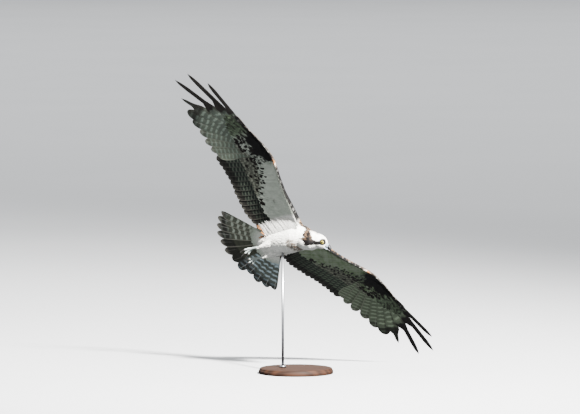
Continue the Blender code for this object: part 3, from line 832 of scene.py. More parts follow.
@dataclass(frozen=True)
class WingSheet:
    """The curved sheet that a wing's feathers lie in.

    A place on it has x, the distance forwards, and s, the distance out from the shoulder.
    """

    side: Side
    hand_slope: float
    arm_shear: float
    hand_shear: float
    shoulder: Row = (0.055, 0.020)
    arm_slope: float = 14.5
    bend: float = 0.050
    wrist: Row = (0.262, 0.348)
    root: Row = (-0.030, -0.010)
    camber: float = 0.009
    twist: float = 0.06
    twist_x: float = 0.080
    bulge_at: Row = (0.0, 0.035, 0.11, 0.25, 0.45, 0.70, 1.0, 1.6, 2.0)
    bulge: Row = (0.35, 0.72, 1.0, 0.95, 0.70, 0.42, 0.0, -0.35, -1.4)
    leading: Row = (
        (-0.030, 0.050), (0.016, 0.056), (0.075, 0.064), (0.125, 0.068), (0.180, 0.081),
        (0.235, 0.098), (0.270, 0.107), (0.310, 0.1075), (0.375, 0.1035), (0.425, 0.0965),
        (0.480, 0.0840), (0.530, 0.0780), (0.670, 0.0800), (0.740, 0.0400),
    )
    trailing: Row = (
        (-0.030, -0.125), (0.030, -0.165), (0.083, -0.185), (0.120, -0.184), (0.190, -0.176),
        (0.223, -0.167), (0.300, -0.163), (0.341, -0.1610), (0.383, -0.152), (0.430, -0.1435),
        (0.483, -0.127), (0.540, -0.115), (0.589, -0.101), (0.648, -0.081), (0.731, -0.041),
        (0.740, 0.020),
    )

    def spine(self, s: Array) -> tuple[Array, Array, Array]:
        """Y, Z and slope of the sheet at distances out.

        Args:
            s: distances out from the shoulder.

        Returns:
            Three arrays, with the slope in radians.
        """
        span = np.linspace(-0.06, 0.80, 345)
        middle = (self.wrist[0] + self.wrist[1]) / 2
        ends = (middle - self.bend, middle + self.bend)
        slope = np.radians(np.interp(span, ends, (self.arm_slope, self.hand_slope)))
        step = span[1] - span[0]
        start = int(round(-span[0] / step))
        across, rise = np.cumsum(np.cos(slope)) * step, np.cumsum(np.sin(slope)) * step
        y = self.shoulder[0] + np.interp(s, span, across - across[start])
        z = self.shoulder[1] + np.interp(s, span, rise - rise[start])
        return y, z, np.interp(s, span, slope)

    def lead(self, s: Array) -> Array:
        """X of the leading edge."""
        return line_at(self.leading, s)

    def trail(self, s: Array) -> Array:
        """X of the trailing edge."""
        return line_at(self.trailing, s)

    def shift(self, s: Array) -> Array:
        """How far the sheet is swept at a distance out."""
        wrist = self.wrist[0]
        return self.arm_shear * np.minimum(s, wrist) + self.hand_shear * np.maximum(s - wrist, 0.0)

    def place(self, x: Array, s: Array, lift: Array) -> Array:
        """Points of the wing.

        Args:
            x: distances forwards.
            s: distances out.
            lift: heights off the sheet.

        Returns:
            Points in the bird's frame.
        """
        x, s, lift = np.broadcast_arrays(x, s, lift)
        y, z, slope = self.spine(s)
        lead, trail = self.lead(s), self.trail(s)
        share = np.clip((lead - x) / (lead - trail), 0.0, 1.0)
        fade = np.interp(s, (0.30, 0.55), (1.0, 0.0))
        lift = lift + self.camber * 4 * share * (1 - share) * fade
        lift = lift - self.twist * (self.twist_x - x) * np.interp(s, (0.35, 0.55), (0.0, 1.0))
        side = self.side.value * (y - np.sin(slope) * lift)
        return np.stack((x + self.shift(s), side, z + np.cos(slope) * lift), -1)

    def chord(self, q: Array, share: Array) -> tuple[Array, Array]:
        """X and s of a share of the arm's chord, q of the way from shoulder to wrist.

        Args:
            q: share of the way out.
            share: share of the chord, from the leading edge.

        Returns:
            The place on the sheet.
        """
        lead_s = self.root[0] + (self.wrist[0] - self.root[0]) * q
        trail_s = self.root[1] + (self.wrist[1] - self.root[1]) * q
        lead, trail = self.lead(lead_s), self.trail(trail_s)
        return lead + (trail - lead) * share, lead_s + (trail_s - lead_s) * share

    def parting(self, x: Array) -> Array:
        """Distance out of the line that parts arm from hand."""
        front, rear = self.lead(self.wrist[0]), self.trail(self.wrist[1])
        return self.wrist[0] + (self.wrist[1] - self.wrist[0]) * (front - x) / (front - rear)

    def find(self, points: Array) -> tuple[Array, Array]:
        """X and s of the places of the sheet that are nearest to points.

        Args:
            points: places in the bird's frame, one a row.

        Returns:
            The places on the sheet.
        """
        out = points[:, 1] * self.side.value
        span = np.linspace(-0.03, 0.76, 400)
        s = np.interp(out, self.spine(span)[0], span)
        return points[:, 0] - self.shift(s), s

    def flesh(self, s: Array) -> Array:
        """How far back the flesh reaches, as a share of the chord."""
        return 0.40 - 0.25 * ramp(s, 0.27, 0.46)

    def core(self, x: Array, s: Array) -> Array:
        """Half the thickness of the wing under its coverts.

        Args:
            x: distances forwards.
            s: distances out from the shoulder.

        Returns:
            Half thicknesses.
        """
        share = np.clip((self.lead(s) - x) / (self.lead(s) - self.trail(s)), 0.0, 1.0)
        hand = ramp(s, self.wrist[0], self.wrist[1])
        inner = np.clip(1 - s / self.wrist[0], 0.0, 1.0) ** 2.2
        front = 0.013 + 0.017 * inner - 0.005 * ramp(s, 0.30, 0.46)
        rear = 0.0086 - 0.0030 * ramp(s, 0.27, 0.46)
        reach = 0.40 - 0.24 * ramp(s, 0.27, 0.46)
        bulge = np.interp(share / reach, self.bulge_at, self.bulge)
        full = rear + (front - rear) * np.maximum(bulge, 0.0) + 0.0060 * np.minimum(bulge, 0.0)
        return np.maximum(full / 2, 0.0004) * (1 - 0.3 * hand)


@dataclass(frozen=True)
class TailFan:
    """The fan that the tail's feathers lie in, by angle and distance from its origin."""

    base: Row = (-0.178, 0.0, -0.002)
    pitch: float = 3.2
    twist: float = -7.3
    origin: float = 0.113
    length: float = 0.216
    pairs: int = 6
    inner: Row = (5.5, 7.7)
    outer: Row = (66.5, 64.5)
    trims: Row = ((0.0, 0.002, 0.0, 0.002, 0.0, 0.0), (0.008, 0.001, 0.022, 0.004, 0.0, 0.0))

    def axes(self) -> tuple[Array, Array, Array]:
        """Backwards, left and upwards along the fan.

        Returns:
            Three directions of length one.
        """
        pitch, twist = math.radians(self.pitch), math.radians(self.twist)
        back = np.array((-math.cos(pitch), 0.0, math.sin(pitch)))
        rise = np.array((math.sin(pitch), 0.0, math.cos(pitch)))
        left = math.cos(twist) * np.array((0.0, 1.0, 0.0)) + math.sin(twist) * rise
        return back, left, -np.cross(back, left)

    def place(self, angle: Array, reach: Array, lift: Array) -> Array:
        """Points of the tail.

        Args:
            angle: degrees to the left of the middle line.
            reach: distances from the fan's origin.
            lift: heights off the fan.

        Returns:
            Points in the bird's frame.
        """
        back, left, normal = self.axes()
        turn, reach, lift = np.broadcast_arrays(np.radians(angle), reach, lift)
        flat = np.cos(turn)[..., None] * back + np.sin(turn)[..., None] * left
        start = np.array(self.base) - self.origin * back
        return start + reach[..., None] * flat + lift[..., None] * normal

    def ray(self, side: Side, index: int) -> tuple[float, float]:
        """Angle and length of one feather, counted from the middle.

        Args:
            side: side of the tail.
            index: number of the feather.

        Returns:
            Degrees to the left and distance of the tip from the fan's origin.
        """
        row = 0 if side is Side.RIGHT else 1
        spread = self.outer[row] - self.inner[row]
        turn = math.radians(self.inner[row] + spread * index / (self.pairs - 1))
        length = self.length - self.trims[row][index]
        across, back = length * math.sin(turn), self.origin + length * math.cos(turn)
        return side.value * math.degrees(math.atan2(across, back)), math.hypot(across, back)


def loft(rings: Array) -> tuple[Array, list[tuple[int, ...]]]:
    """Points and faces of a closed body through rings of equal point counts.

    Args:
        rings: rings of points, all with as many.

    Returns:
        The points, and the corners of each face.
    """
    rows, sides = rings.shape[:2]
    faces = []
    for row in range(rows - 1):
        for side in range(sides):
            after = (side + 1) % sides
            low, high = row * sides, (row + 1) * sides
            faces.append((low + side, low + after, high + after, high + side))
    faces.append(tuple(range(sides)))
    faces.append(tuple(range((rows - 1) * sides, rows * sides)))
    return rings.reshape(-1, 3), faces


def oval_rings(stations: tuple[Row, ...], sides: int, inset: float) -> Array:
    """Upright ovals at rows of x, half width, top and bottom, drawn in by an inset.

    Args:
        stations: x, half width, top and bottom of each oval.
        sides: how many points a ring has.
        inset: how far each is drawn in.

    Returns:
        The rings.
    """
    turn = circle(sides)
    rings = []
    for x, half, top, bottom in stations:
        middle, tall = (top + bottom) / 2, max((top - bottom) / 2 - inset, 0.001)
        wide = max(half - inset, 0.001)
        ring = np.full(sides, x), wide * np.cos(turn), middle + tall * np.sin(turn)
        rings.append(np.stack(ring, -1))
    return np.array(rings)


def bent_path(start: Row, handle: Row, end: Row, count: int) -> Array:
    """Points evenly along a quadratic curve.

    Args:
        start: first point.
        handle: point that the curve is drawn towards.
        end: last point.
        count: how many points there are.

    Returns:
        The points.
    """
    t = np.linspace(0.0, 1.0, count)[:, None]
    first, middle, last = (np.array(point, float) for point in (start, handle, end))
    return (1 - t) ** 2 * first + 2 * t * (1 - t) * middle + t ** 2 * last


def tube_rings(path: Array, radii: Array, sides: int) -> Array:
    """Rings square to a path.

    Args:
        path: points of the path.
        radii: radius at each point.
        sides: how many points a ring has.

    Returns:
        The rings.
    """
    along = unit(np.gradient(path, axis=0))
    level = unit(np.cross((0.0, 0.0, 1.0), along))
    upright = np.cross(along, level)
    turn = circle(sides)[None, :, None]
    out = np.cos(turn) * level[:, None] + np.sin(turn) * upright[:, None]
    return path[:, None] + np.asarray(radii)[:, None, None] * out


def plate_rings(upper: Array, lower: Array) -> Array:
    """Rings round a plate between two grids of rows and columns."""
    return np.concatenate((upper, lower[:, ::-1]), axis=1)


@dataclass(frozen=True)
class HeadShape:
    """The head, in its own frame with X to the bill, Y left and Z to the crown."""

    centre: Row = (0.120, 0.036, -0.027)
    yaw: float = 41.3
    pitch: float = 12.9
    roll: float = 43.0
    eye: Row = (0.0155, 0.0150, 0.0045)
    eye_radius: float = 0.0079
    lid_radius: float = 0.0066
    stations: tuple[Row, ...] = (
        (-0.041, 0.010, 0.009, -0.012), (-0.034, 0.019, 0.019, -0.021),
        (-0.020, 0.0250, 0.0265, -0.0275), (-0.004, 0.0265, 0.0285, -0.0285),
        (0.010, 0.0240, 0.0260, -0.0255), (0.021, 0.0185, 0.0200, -0.0205),
        (0.029, 0.0125, 0.0125, -0.0165),
    )

    def matrix(self) -> Matrix:
        """The move from the head's frame to the bird's.

        Returns:
            The move.
        """
        turn = Euler(tuple(math.radians(angle) for angle in (0, self.pitch, self.yaw))).to_matrix()
        roll = Matrix.Rotation(math.radians(self.roll), 3, "X")
        return Matrix.Translation(self.centre) @ (turn @ roll).to_4x4()

    def outward(self, points: Array) -> Array:
        """Moves points from the head's frame to the bird's."""
        move = np.array(self.matrix())
        return points @ move[:3, :3].T + move[:3, 3]

    def inward(self, points: Array) -> Array:
        """Moves points from the bird's frame to the head's."""
        move = np.array(self.matrix())
        return (points - move[:3, 3]) @ move[:3, :3]


@dataclass(frozen=True)
class BodyShape:
    """Torso, neck and thighs."""

    torso: tuple[Row, ...] = (
        (0.080, 0.013, 0.004, -0.022), (0.072, 0.029, 0.020, -0.040),
        (0.052, 0.043, 0.033, -0.055), (0.020, 0.051, 0.040, -0.062),
        (-0.018, 0.052, 0.040, -0.063), (-0.060, 0.052, 0.037, -0.058),
        (-0.100, 0.050, 0.031, -0.051), (-0.135, 0.047, 0.023, -0.042),
        (-0.165, 0.041, 0.015, -0.031), (-0.185, 0.033, 0.009, -0.020),
    )
    neck: tuple[Row, ...] = ((0.030, 0.0, -0.012), (0.080, 0.018, -0.030))
    neck_radii: Row = (0.040, 0.041, 0.037, 0.021)
    leg_root: Row = (-0.085, 0.024, -0.022)
    ankles: tuple[Row, ...] = ((-0.150, -0.032, -0.047), (-0.156, 0.014, -0.053))
    leg_radii: Row = (0.020, 0.016, 0.010, 0.0062)

    def neck_path(self, head: HeadShape, count: int) -> Array:
        """Points along the neck's middle line."""
        return bent_path(self.neck[0], self.neck[1], head.centre, count)

    def leg_path(self, side: Side, count: int) -> Array:
        """Points along a thigh's middle line.

        Args:
            side: side of the bird.
            count: how many points there are.

        Returns:
            The points, from hip to ankle.
        """
        root = mirrored(self.leg_root, side)
        ankle = np.array(self.ankles[0 if side is Side.RIGHT else 1])
        return bent_path(root, (root + ankle) / 2 + (0, 0, -0.006), ankle, count)


@dataclass
class Skin:
    """The one skin of the bird, under all of its small feathers."""

    body: BodyShape
    head: HeadShape
    wings: dict[Side, WingSheet]
    tail: TailFan
    inset: float = 0.0012
    voxel: float = 0.0021
    rounds: int = 4
    brow: Row = (0.0115, 0.0046, 0.0026)
    brow_place: Row = (-0.001, 0.0012, 0.0072)
    points: Array = field(default_factory=lambda: np.zeros((0, 3)))
    normals: Array = field(default_factory=lambda: np.zeros((0, 3)))
    tree: BVHTree | None = None
    mesh: bpy.types.Mesh | None = None

    def bodies(self) -> list[tuple[Array, list[tuple[int, ...]]]]:
        """The closed forms that the skin is drawn over.

        Returns:
            Points and faces of each form.
        """
        path = self.body.neck_path(self.head, 13)
        reach = np.linspace(0.0, 1.0, 13)
        radii = np.interp(reach, np.linspace(0, 1, 4), self.body.neck_radii) - self.inset
        forms = [
            loft(oval_rings(self.body.torso, 32, self.inset)),
            loft(self.head.outward(oval_rings(self.head.stations, 28, self.inset))),
            loft(tube_rings(path, radii, 28)),
            self.rump(),
        ]
        for side in Side:
            path = self.body.leg_path(side, 9)
            radii = np.interp(np.linspace(0, 1, 9), np.linspace(0, 1, 4), self.body.leg_radii)
            forms.append(loft(tube_rings(path, radii - self.inset * 0.6, 16)))
            forms.append(self.wing(self.wings[side]))
            brow = mirrored(self.head.eye, side) + mirrored(self.brow_place, side)
            long, wide, tall = self.brow
            lumps = []
            for x in (-0.98, -0.7, 0.0, 0.7, 0.98):
                full = math.sqrt(1 - x * x)
                lumps.append((x * long, full * wide, full * tall, -full * tall))
            forms.append(loft(self.head.outward(oval_rings(tuple(lumps), 12, 0.0) + brow)))
        return forms

    def rump(self) -> tuple[Array, list[tuple[int, ...]]]:
        """The flesh at the tail's root.

        Returns:
            Points and faces.
        """
        across = np.linspace(-1.0, 1.0, 17)[:, None]
        end = 0.132 - 0.034 * across ** 2
        reach = 0.045 + (end - 0.045) * np.array((0.0, 0.35, 0.75, 1.0))
        tops = np.array((0.0035, 0.0045, 0.0036, 0.0010))
        floors = np.array((-0.0110, -0.0120, -0.0106, -0.0085))
        upper = self.tail.place(across * 44.0, reach, np.broadcast_to(tops, reach.shape))
        lower = self.tail.place(across * 44.0, reach, np.broadcast_to(floors, reach.shape))
        return loft(plate_rings(upper, lower))

    def wing(self, sheet: WingSheet) -> tuple[Array, list[tuple[int, ...]]]:
        """The flesh of one wing.

        Args:
            sheet: the wing's sheet.

        Returns:
            Points and faces.
        """
        s = np.concatenate((np.linspace(-0.028, 0.262, 16), np.linspace(0.285, 0.452, 9)))[:, None]
        reach = sheet.flesh(s)
        share = np.array((0.012, 0.035, 0.11, 0.25, 0.45, 0.70, 0.97)) * reach
        out = np.clip(s / sheet.wrist[0], 0.0, 1.0)
        drift = share * (sheet.wrist[1] - sheet.wrist[0]) * out * 1.05
        lead, trail = sheet.lead(s), sheet.trail(s + drift)
        x = lead + (trail - lead) * share
        half = np.maximum(sheet.core(x, s + drift) - self.inset * 0.8, 0.0012)
        upper, lower = sheet.place(x, s + drift, half), sheet.place(x, s + drift, -half)
        return loft(plate_rings(upper, lower))

    def grow(self) -> None:
        """Draws one closed surface over the forms and keeps its points and normals."""
        mesh = bpy.data.meshes.new("skin")
        points, faces = [], []
        for found, rows in self.bodies():
            base = sum(len(part) for part in points)
            points.append(found)
            faces += [tuple(corner + base for corner in row) for row in rows]
        mesh.from_pydata(np.concatenate(points), [], faces)
        face_out(mesh)
        made = bpy.data.objects.new("skin_form", mesh)
        bpy.context.scene.collection.objects.link(made)
        cover = made.modifiers.new("cover", "REMESH")
        cover.mode = "VOXEL"
        cover.voxel_size = self.voxel
        soften = made.modifiers.new("soften", "SMOOTH")
        soften.factor, soften.iterations = 0.5, self.rounds
        bpy.context.view_layer.update()
        graph = bpy.context.evaluated_depsgraph_get()
        self.mesh = bpy.data.meshes.new_from_object(made.evaluated_get(graph))
        bpy.data.objects.remove(made)
        count = len(self.mesh.vertices)
        self.points = np.empty((count, 3), np.float32)
        self.mesh.vertices.foreach_get("co", self.points.reshape(-1))
        self.normals = np.empty((count, 3), np.float32)
        self.mesh.vertex_normals.foreach_get("vector", self.normals.reshape(-1))
        shape = bmesh.new()
        shape.from_mesh(self.mesh)
        self.tree = BVHTree.FromBMesh(shape)
        shape.free()
        LOG.info("skin: %d points", count)

    def piece(self, flow: "Flow", plumage: "Plumage", pose: Matrix,
              material: bpy.types.Material) -> Piece:
        """Dresses the skin in the tones of the coat over it.

        Args:
            flow: which part of the bird each place belongs to.
            plumage: the markings.
            pose: the move to the row frame.
            material: the finish.

        Returns:
            The piece.
        """
        points = self.points.astype(float)
        shares = flow.shares(points)
        tones = plumage.bird(points, self.normals.astype(float), shares)
        store(self.mesh, "tone", tones.main)
        store(self.mesh, "home", self.points)
        corners = np.empty(len(self.mesh.loops), np.int32)
        self.mesh.loops.foreach_get("vertex_index", corners)
        counts = np.empty(len(self.mesh.polygons), np.int32)
        self.mesh.polygons.foreach_get("loop_total", counts)
        owner = np.repeat(np.arange(len(counts)), counts)
        middle = np.stack([np.bincount(owner, points[corners, part]) for part in range(3)], -1)
        middle /= counts[:, None]
        flat = self.unwrap(points[corners], middle[owner], flow)
        layer = self.mesh.uv_layers.new(name=BAKE_MAP)
        layer.data.foreach_set("uv", flat.astype(np.float32).reshape(-1))
        self.mesh.transform(pose)
        self.mesh.shade_smooth()
        return piece_of("skin", self.mesh, material)

    def unwrap(self, corners: Array, middles: Array, flow: "Flow") -> Array:
        """Places of the skin's face corners on its map: wings flat, head and body rolled out.

        Args:
            corners: place of each corner.
            middles: middle of each corner's face.
            flow: which part of the bird each place belongs to.

        Returns:
            U and v of each corner.
        """
        shares = flow.shares(middles)
        held, spun = self.head.inward(corners), self.head.inward(middles)
        ahead = shares["head"] + shares["neck"] > 0.5
        turns = []
        for places, trunk in ((held, corners), (spun, middles)):
            turns.append(np.where(ahead, rolled(places), rolled(trunk, TRUNK_AXIS)))
        turn = turns[0] - np.round(turns[0] - turns[1])
        along = np.where(ahead, within(held[:, 0], HEAD_MAP), within(corners[:, 0], TRUNK_MAP))
        flat = np.stack((0.02 + 0.46 * turn + 0.5 * ahead, 0.52 + 0.46 * np.clip(along, 0, 1)), -1)
        for row, side in enumerate(Side):
            sheet = self.wings[side]
            x, s = sheet.find(corners)
            base_x, base_s = sheet.find(middles)
            above = middles[:, 2] > sheet.place(base_x, base_s, base_x * 0)[:, 2]
            out, depth = np.clip(s / WING_REACH, 0, 1), np.clip(within(x, WING_MAP), 0, 1)
            low = 0.01 + 0.25 * row + 0.12 * above
            wing = np.stack((0.02 + 0.96 * out, low + 0.11 * depth), -1)
            flat = np.where((shares["wing_" + side.name] > 0.5)[:, None], wing, flat)
        return flat

    def fall(self, points: Array) -> tuple[Array, Array]:
        """The nearest points of the skin and their normals.

        Args:
            points: places near the skin.

        Returns:
            The points and the normals.
        """
        found, normals = np.array(points, float), np.zeros((len(points), 3))
        for row, point in enumerate(points):
            found[row], normals[row] = self.tree.find_nearest(Vector(point))[:2]
        return found, normals


@dataclass(frozen=True)
class Flow:
    """Which way the small feathers lie, and which part of the bird a place belongs to."""

    body: BodyShape
    head: HeadShape
    wings: dict[Side, WingSheet]

    def shares(self, points: Array) -> dict[str, Array]:
        """How much each place belongs to head, neck, legs, wings and torso, as shares.

        Args:
            points: places in the bird's frame, one a row.

        Returns:
            The shares by the name of each part.
        """
        held = self.head.inward(points)
        head = ramp(held[:, 0], -0.030, -0.014) * ramp(np.linalg.norm(held, axis=1), 0.055, 0.045)
        path = self.body.neck_path(self.head, 9)
        apart = np.linalg.norm(points[:, None] - path[None], axis=2)
        nearest = np.argmin(apart, axis=1)
        neck = ramp(nearest / 8, 0.15, 0.6) * (1 - head) * ramp(np.abs(points[:, 1]), 0.085, 0.06)
        neck = neck * ramp(np.min(apart, axis=1), 0.060, 0.048)
        found = {"head": head, "neck": neck}
        taken = head + neck
        for side in Side:
            out = ramp(points[:, 1] * side.value, 0.050, 0.064) * (1 - taken)
            found["wing_" + side.name] = out
            leg = self.body.leg_path(side, 9)
            away = np.min(np.linalg.norm(points[:, None] - leg[None], axis=2), axis=1)
            low = ramp(away, 0.024, 0.016) * ramp(points[:, 0], -0.095, -0.112)
            found["leg_" + side.name] = low * (1 - taken) * ramp(points[:, 2], -0.030, -0.040)
        found["torso"] = np.clip(1 - sum(found.values()), 0.0, 1.0)
        return found

    def along(self, points: Array) -> Array:
        """The lie of the feathers at places, from root to tip.

        Args:
            points: places in the bird's frame, one a row.

        Returns:
            Directions of length one.
        """
        found = self.shares(points)
        move = np.array(self.head.matrix())
        bill = self.head.outward(np.array(((0.050, 0.0, -0.002),)))[0]
        path = self.body.neck_path(self.head, 9)
        steps = -unit(np.gradient(path, axis=0))
        nearest = np.argmin(np.linalg.norm(points[:, None] - path[None], axis=2), axis=1)
        ways = found["head"][:, None] * (0.45 * unit(points - bill) - move[:3, 0])
        ways = ways + found["neck"][:, None] * steps[nearest]
        ways = ways + found["torso"][:, None] * np.array((-1.0, 0.0, 0.0))
        for side in Side:
            sheet = self.wings[side]
            x, s = sheet.find(points)
            lean = np.interp(s, (0.0, 0.10, 0.262, 0.34, 0.46), (0.05, 0.16, 0.30, 0.65, 1.5))
            lean = lean + 4.0 * ramp(sheet.lead(s) - x, 0.016, 0.003) * ramp(s, 0.0, 0.05)
            slope = sheet.spine(s)[2]
            out, rise = side.value * lean * np.cos(slope), lean * np.sin(slope)
            way = np.stack((-np.ones(len(s)), out, rise), -1)
            ways = ways + found["wing_" + side.name][:, None] * unit(way)
            leg = self.body.leg_path(side, 2)
            ways = ways + found["leg_" + side.name][:, None] * unit(leg[1] - leg[0])
        return unit(ways)


# Colours of the plumage. PALE, SHADED and HAND are the white and grey feathers drawn greyer and
# greener: painted shade with a painted green reflection from the ground, most of it in SHADED for
# the left underwing.
WHITE = tone(248, 247, 240)
PALE = tone(179, 188, 173)
SHADED = tone(102, 122, 86)
HAND = tone(134, 152, 124)
BUFF = tone(122, 96, 72)
RUST = tone(172, 104, 40)
BROWN = tone(56, 45, 37)
DARK = tone(32, 28, 25)
BLACK = tone(14, 13, 13)
OLIVE = tone(98, 102, 84)
GREY = tone(150, 152, 138)
# The stripe through the eye, by the two values that Plumage.facing gives.
MASK = (
    (0.0280, 0.0088), (0.0291, -0.0020), (0.0205, -0.0085), (0.0129, -0.0139), (0.0022, -0.0128),
    (-0.0065, -0.0106), (-0.0151, -0.0119), (-0.0280, -0.0122), (-0.0453, -0.0141),
    (-0.0604, -0.0150), (-0.0647, -0.0085), (-0.0673, 0.0001), (-0.0737, 0.0062),
    (-0.0824, 0.0141), (-0.0716, 0.0191), (-0.0701, 0.0282), (-0.0668, 0.0411), (-0.0586, 0.0573),
    (-0.0496, 0.0616), (-0.0410, 0.0545), (-0.0377, 0.0389), (-0.0345, 0.0238), (-0.0302, 0.0109),
    (-0.0216, 0.0062), (-0.0140, 0.0044), (-0.0065, 0.0055), (-0.0022, 0.0096), (0.0075, 0.0120),
    (0.0172, 0.0120),
)
# Middle lines of the dark shoulder and of the band of flecks over the breast.
SHOULDER = (
    (0.057, -0.085, 0.026), (0.053, -0.056, 0.028), (0.050, -0.036, 0.026), (0.058, -0.019, 0.022),
    (0.078, -0.010, 0.011),
)
BREAST = ((0.012, -0.012, -0.060), (0.024, 0.012, -0.058), (0.019, 0.035, -0.046))
# By distance out: X where a wing's blots end, and X where its dark wrist patch ends.
SPOTTED = (
    (0.03, -0.115), (0.09, -0.084), (0.11, -0.074), (0.135, -0.060), (0.16, -0.036),
    (0.18, -0.018), (0.21, 0.004), (0.25, 0.018), (0.27, 0.027), (0.30, 0.020), (0.36, 0.005),
)
CARPAL = (
    (0.255, 0.104), (0.268, 0.078), (0.280, 0.062), (0.300, 0.046), (0.312, 0.018), (0.334, 0.018),
    (0.344, 0.048), (0.370, 0.040), (0.388, 0.044), (0.400, 0.062), (0.420, 0.080), (0.450, 0.084),
)


@dataclass(frozen=True)
class Plumage:
    """The markings, with some painted shade and painted light, as tones for places on the bird."""

    head: HeadShape
    wings: dict[Side, WingSheet]
    faint_spots: tuple[Row, ...] = ((-0.012, 0.010, 0.108, 0.014), (-0.042, 0.008, 0.130, 0.018))
    back_line: tuple[Row, Row] = ((-0.20, -0.12, -0.04, 0.05), (-0.012, -0.004, 0.012, 0.021))

    def noise(self, points: Array, size: float, seed: float = 0.0) -> Array:
        """Smooth values from 0 to 1 that vary over a size.

        Args:
            points: places, one a row.
            size: the size of a patch.
            seed: what makes the patches lie elsewhere.

        Returns:
            One value a place.
        """
        waves = ((1.0, 0.3, 0.2), (-0.4, 1.1, 0.5), (0.3, -0.6, 0.9), (0.8, 0.7, -0.9))
        total = np.zeros(len(points))
        for turn, wave in enumerate(waves):
            phase = points @ np.array(wave) / size * 3.1 * (1 + 0.37 * turn)
            total += np.sin(phase + seed * 7.1 + turn * 2.3 + 1.7 * np.sin(phase * 0.53 + turn))
        return np.clip(0.5 + total / 6.4, 0.0, 1.0)

    def bird(self, points: Array, normals: Array, shares: dict[str, Array]) -> Tones:
        """Tones of small feathers anywhere on the skin.

        Args:
            points: places in the bird's frame, one a row.
            normals: the skin's normals there.
            shares: how much each place belongs to each part of the bird.

        Returns:
            One row of tones a place.
        """
        tones = self.trunk(points)
        for side in Side:
            x, s = self.wings[side].find(points)
            share = shares["wing_" + side.name]
            above = (normals[:, 2] > 0).astype(float)
            wing = self.under(side, x, s).blend(self.upper(side, x, s), above)
            tones = tones.blend(wing, share)
        return tones

    def trunk(self, points: Array) -> Tones:
        """Tones of torso, neck, head and legs.

        Args:
            points: places in the bird's frame, one a row.

        Returns:
            One row of tones a place.
        """
        held = self.head.inward(points)
        x, z = held[:, 0], held[:, 2]
        speckle = self.noise(points, 0.006)
        cloud = self.noise(points, 0.018, 2.0)
        line = np.interp(points[:, 0], *self.back_line)
        above = points[:, 2] - line + 0.004 * (speckle - 0.5)
        back = ramp(above, 0.0, 0.006) * ramp(x, -0.055, -0.085)
        main = mix(WHITE, mix(BROWN, DARK, 0.6 * cloud), back)
        main = mix(main, PALE, 0.30 * ramp(cloud, 0.5, 0.8) * (1 - back))
        mask = self.mask(held, cloud)
        rise = self.facing(held)[:, 1]
        pale = ramp(speckle, 0.60, 0.72) * ramp(rise, 0.004, 0.020) * ramp(x, -0.022, -0.034)
        dark = mix(BLACK, BROWN, ramp(cloud, 0.2, 0.8) * (0.10 + 0.50 * ramp(rise, 0.0, 0.015)))
        main = mix(main, mix(dark * 0.5, BUFF * 0.8, pale * 0.6), mask)
        nape = ramp(z, 0.014, 0.026) * ramp(x, -0.022, -0.045) * ramp(x, -0.13, -0.09)
        main = mix(main, mix(BUFF, BROWN, speckle), nape * 0.75 * ramp(cloud, 0.2, 0.55))
        crown = ramp(z, 0.014, 0.022) * ramp(speckle, 0.60, 0.8) * ramp(x, 0.026, 0.0)
        main = mix(main, BROWN, crown * 0.40)
        band = ramp(self.off(points, BREAST) + 0.006 * (cloud - 0.5), 0.030, 0.014)
        main = mix(main, mix(BUFF, BROWN, cloud), band * (0.25 + 0.65 * ramp(speckle, 0.36, 0.52)))
        folded = points * (1, 0, 1) - np.abs(points) * (0, 1, 0)
        bend = ramp(self.off(folded, SHOULDER) + 0.006 * (cloud - 0.5), 0.022, 0.016)
        freckle = mix(mix(BLACK, BROWN, cloud * 0.3), BUFF, ramp(speckle, 0.64, 0.72))
        main = mix(main, freckle, bend)
        # A black and rust patch on the flanks at the tail's root: the black is painted shadow in
        # the gap, the rust is brown feathers painted with sunlight on them.
        behind, out = -points[:, 0], np.abs(points[:, 1])
        side = ramp(out, 0.042, 0.050) * ramp(behind, 0.118, 0.126) * ramp(behind, 0.172, 0.160)
        main = mix(main, mix(BLACK, RUST, ramp(behind + 0.3 * out, 0.154, 0.162)), side)
        tones = Tones.of(main)
        # On the white trunk the feather edges get tan fringes, painted shade between the feathers;
        # the back's pale fringes are real.
        painted_shade_hems = 0.26 * ramp(x, -0.05, -0.09)
        tones.tips[:, 2] = np.where(back > 0.5, 0.22 * (speckle > 0.35), painted_shade_hems)
        tones.wear[:, 2] = 0.25 + 0.55 * back
        return tones

    def off(self, points: Array, path: tuple[Row, ...]) -> Array:
        """Distances of places from a path of straight lines.

        Args:
            points: places, one a row.
            path: the corners of the path.

        Returns:
            One distance a place.
        """
        near = np.full(len(points), 1.0)
        for first, last in zip(np.array(path), np.array(path[1:])):
            edge = last - first
            along = np.clip((points - first) @ edge / (edge @ edge), 0.0, 1.0)
            near = np.minimum(near, np.linalg.norm(points - first - along[:, None] * edge, axis=1))
        return near

    def facing(self, held: Array) -> Array:
        """Places of the head's own frame as seen square to the picture, the left side mirrored."""
        x, y, z = held[:, 0], -np.abs(held[:, 1]), held[:, 2]
        return np.stack((0.80 * x + 0.392 * y + 0.45 * z, -0.45 * x - 0.0955 * y + 0.89 * z), -1)

    def mask(self, held: Array, cloud: Array) -> Array:
        """The dark stripe through the eye, which widens on the neck's side.

        Args:
            held: places in the head's frame, one a row.
            cloud: smooth values from 0 to 1, one a place.

        Returns:
            How far each place is inside the stripe, from 0 to 1.
        """
        seen = self.facing(held) + 0.0022 * np.stack((cloud - 0.5, 0.5 - cloud), -1)
        corners = np.array(MASK)
        inside = np.zeros(len(seen), bool)
        near = self.off(seen, MASK + MASK[:1])
        for first, last in zip(corners, np.roll(corners, -1, axis=0)):
            edge = last - first
            between = (first[1] > seen[:, 1]) != (last[1] > seen[:, 1])
            with np.errstate(divide="ignore", invalid="ignore"):
                cross = first[0] + (seen[:, 1] - first[1]) / edge[1] * edge[0]
            inside ^= between & (seen[:, 0] < cross)
        depth = np.where(inside, near, -near)
        return ramp(depth, -0.0012, 0.0012) * ramp(np.abs(held[:, 1]), 0.004, 0.010)

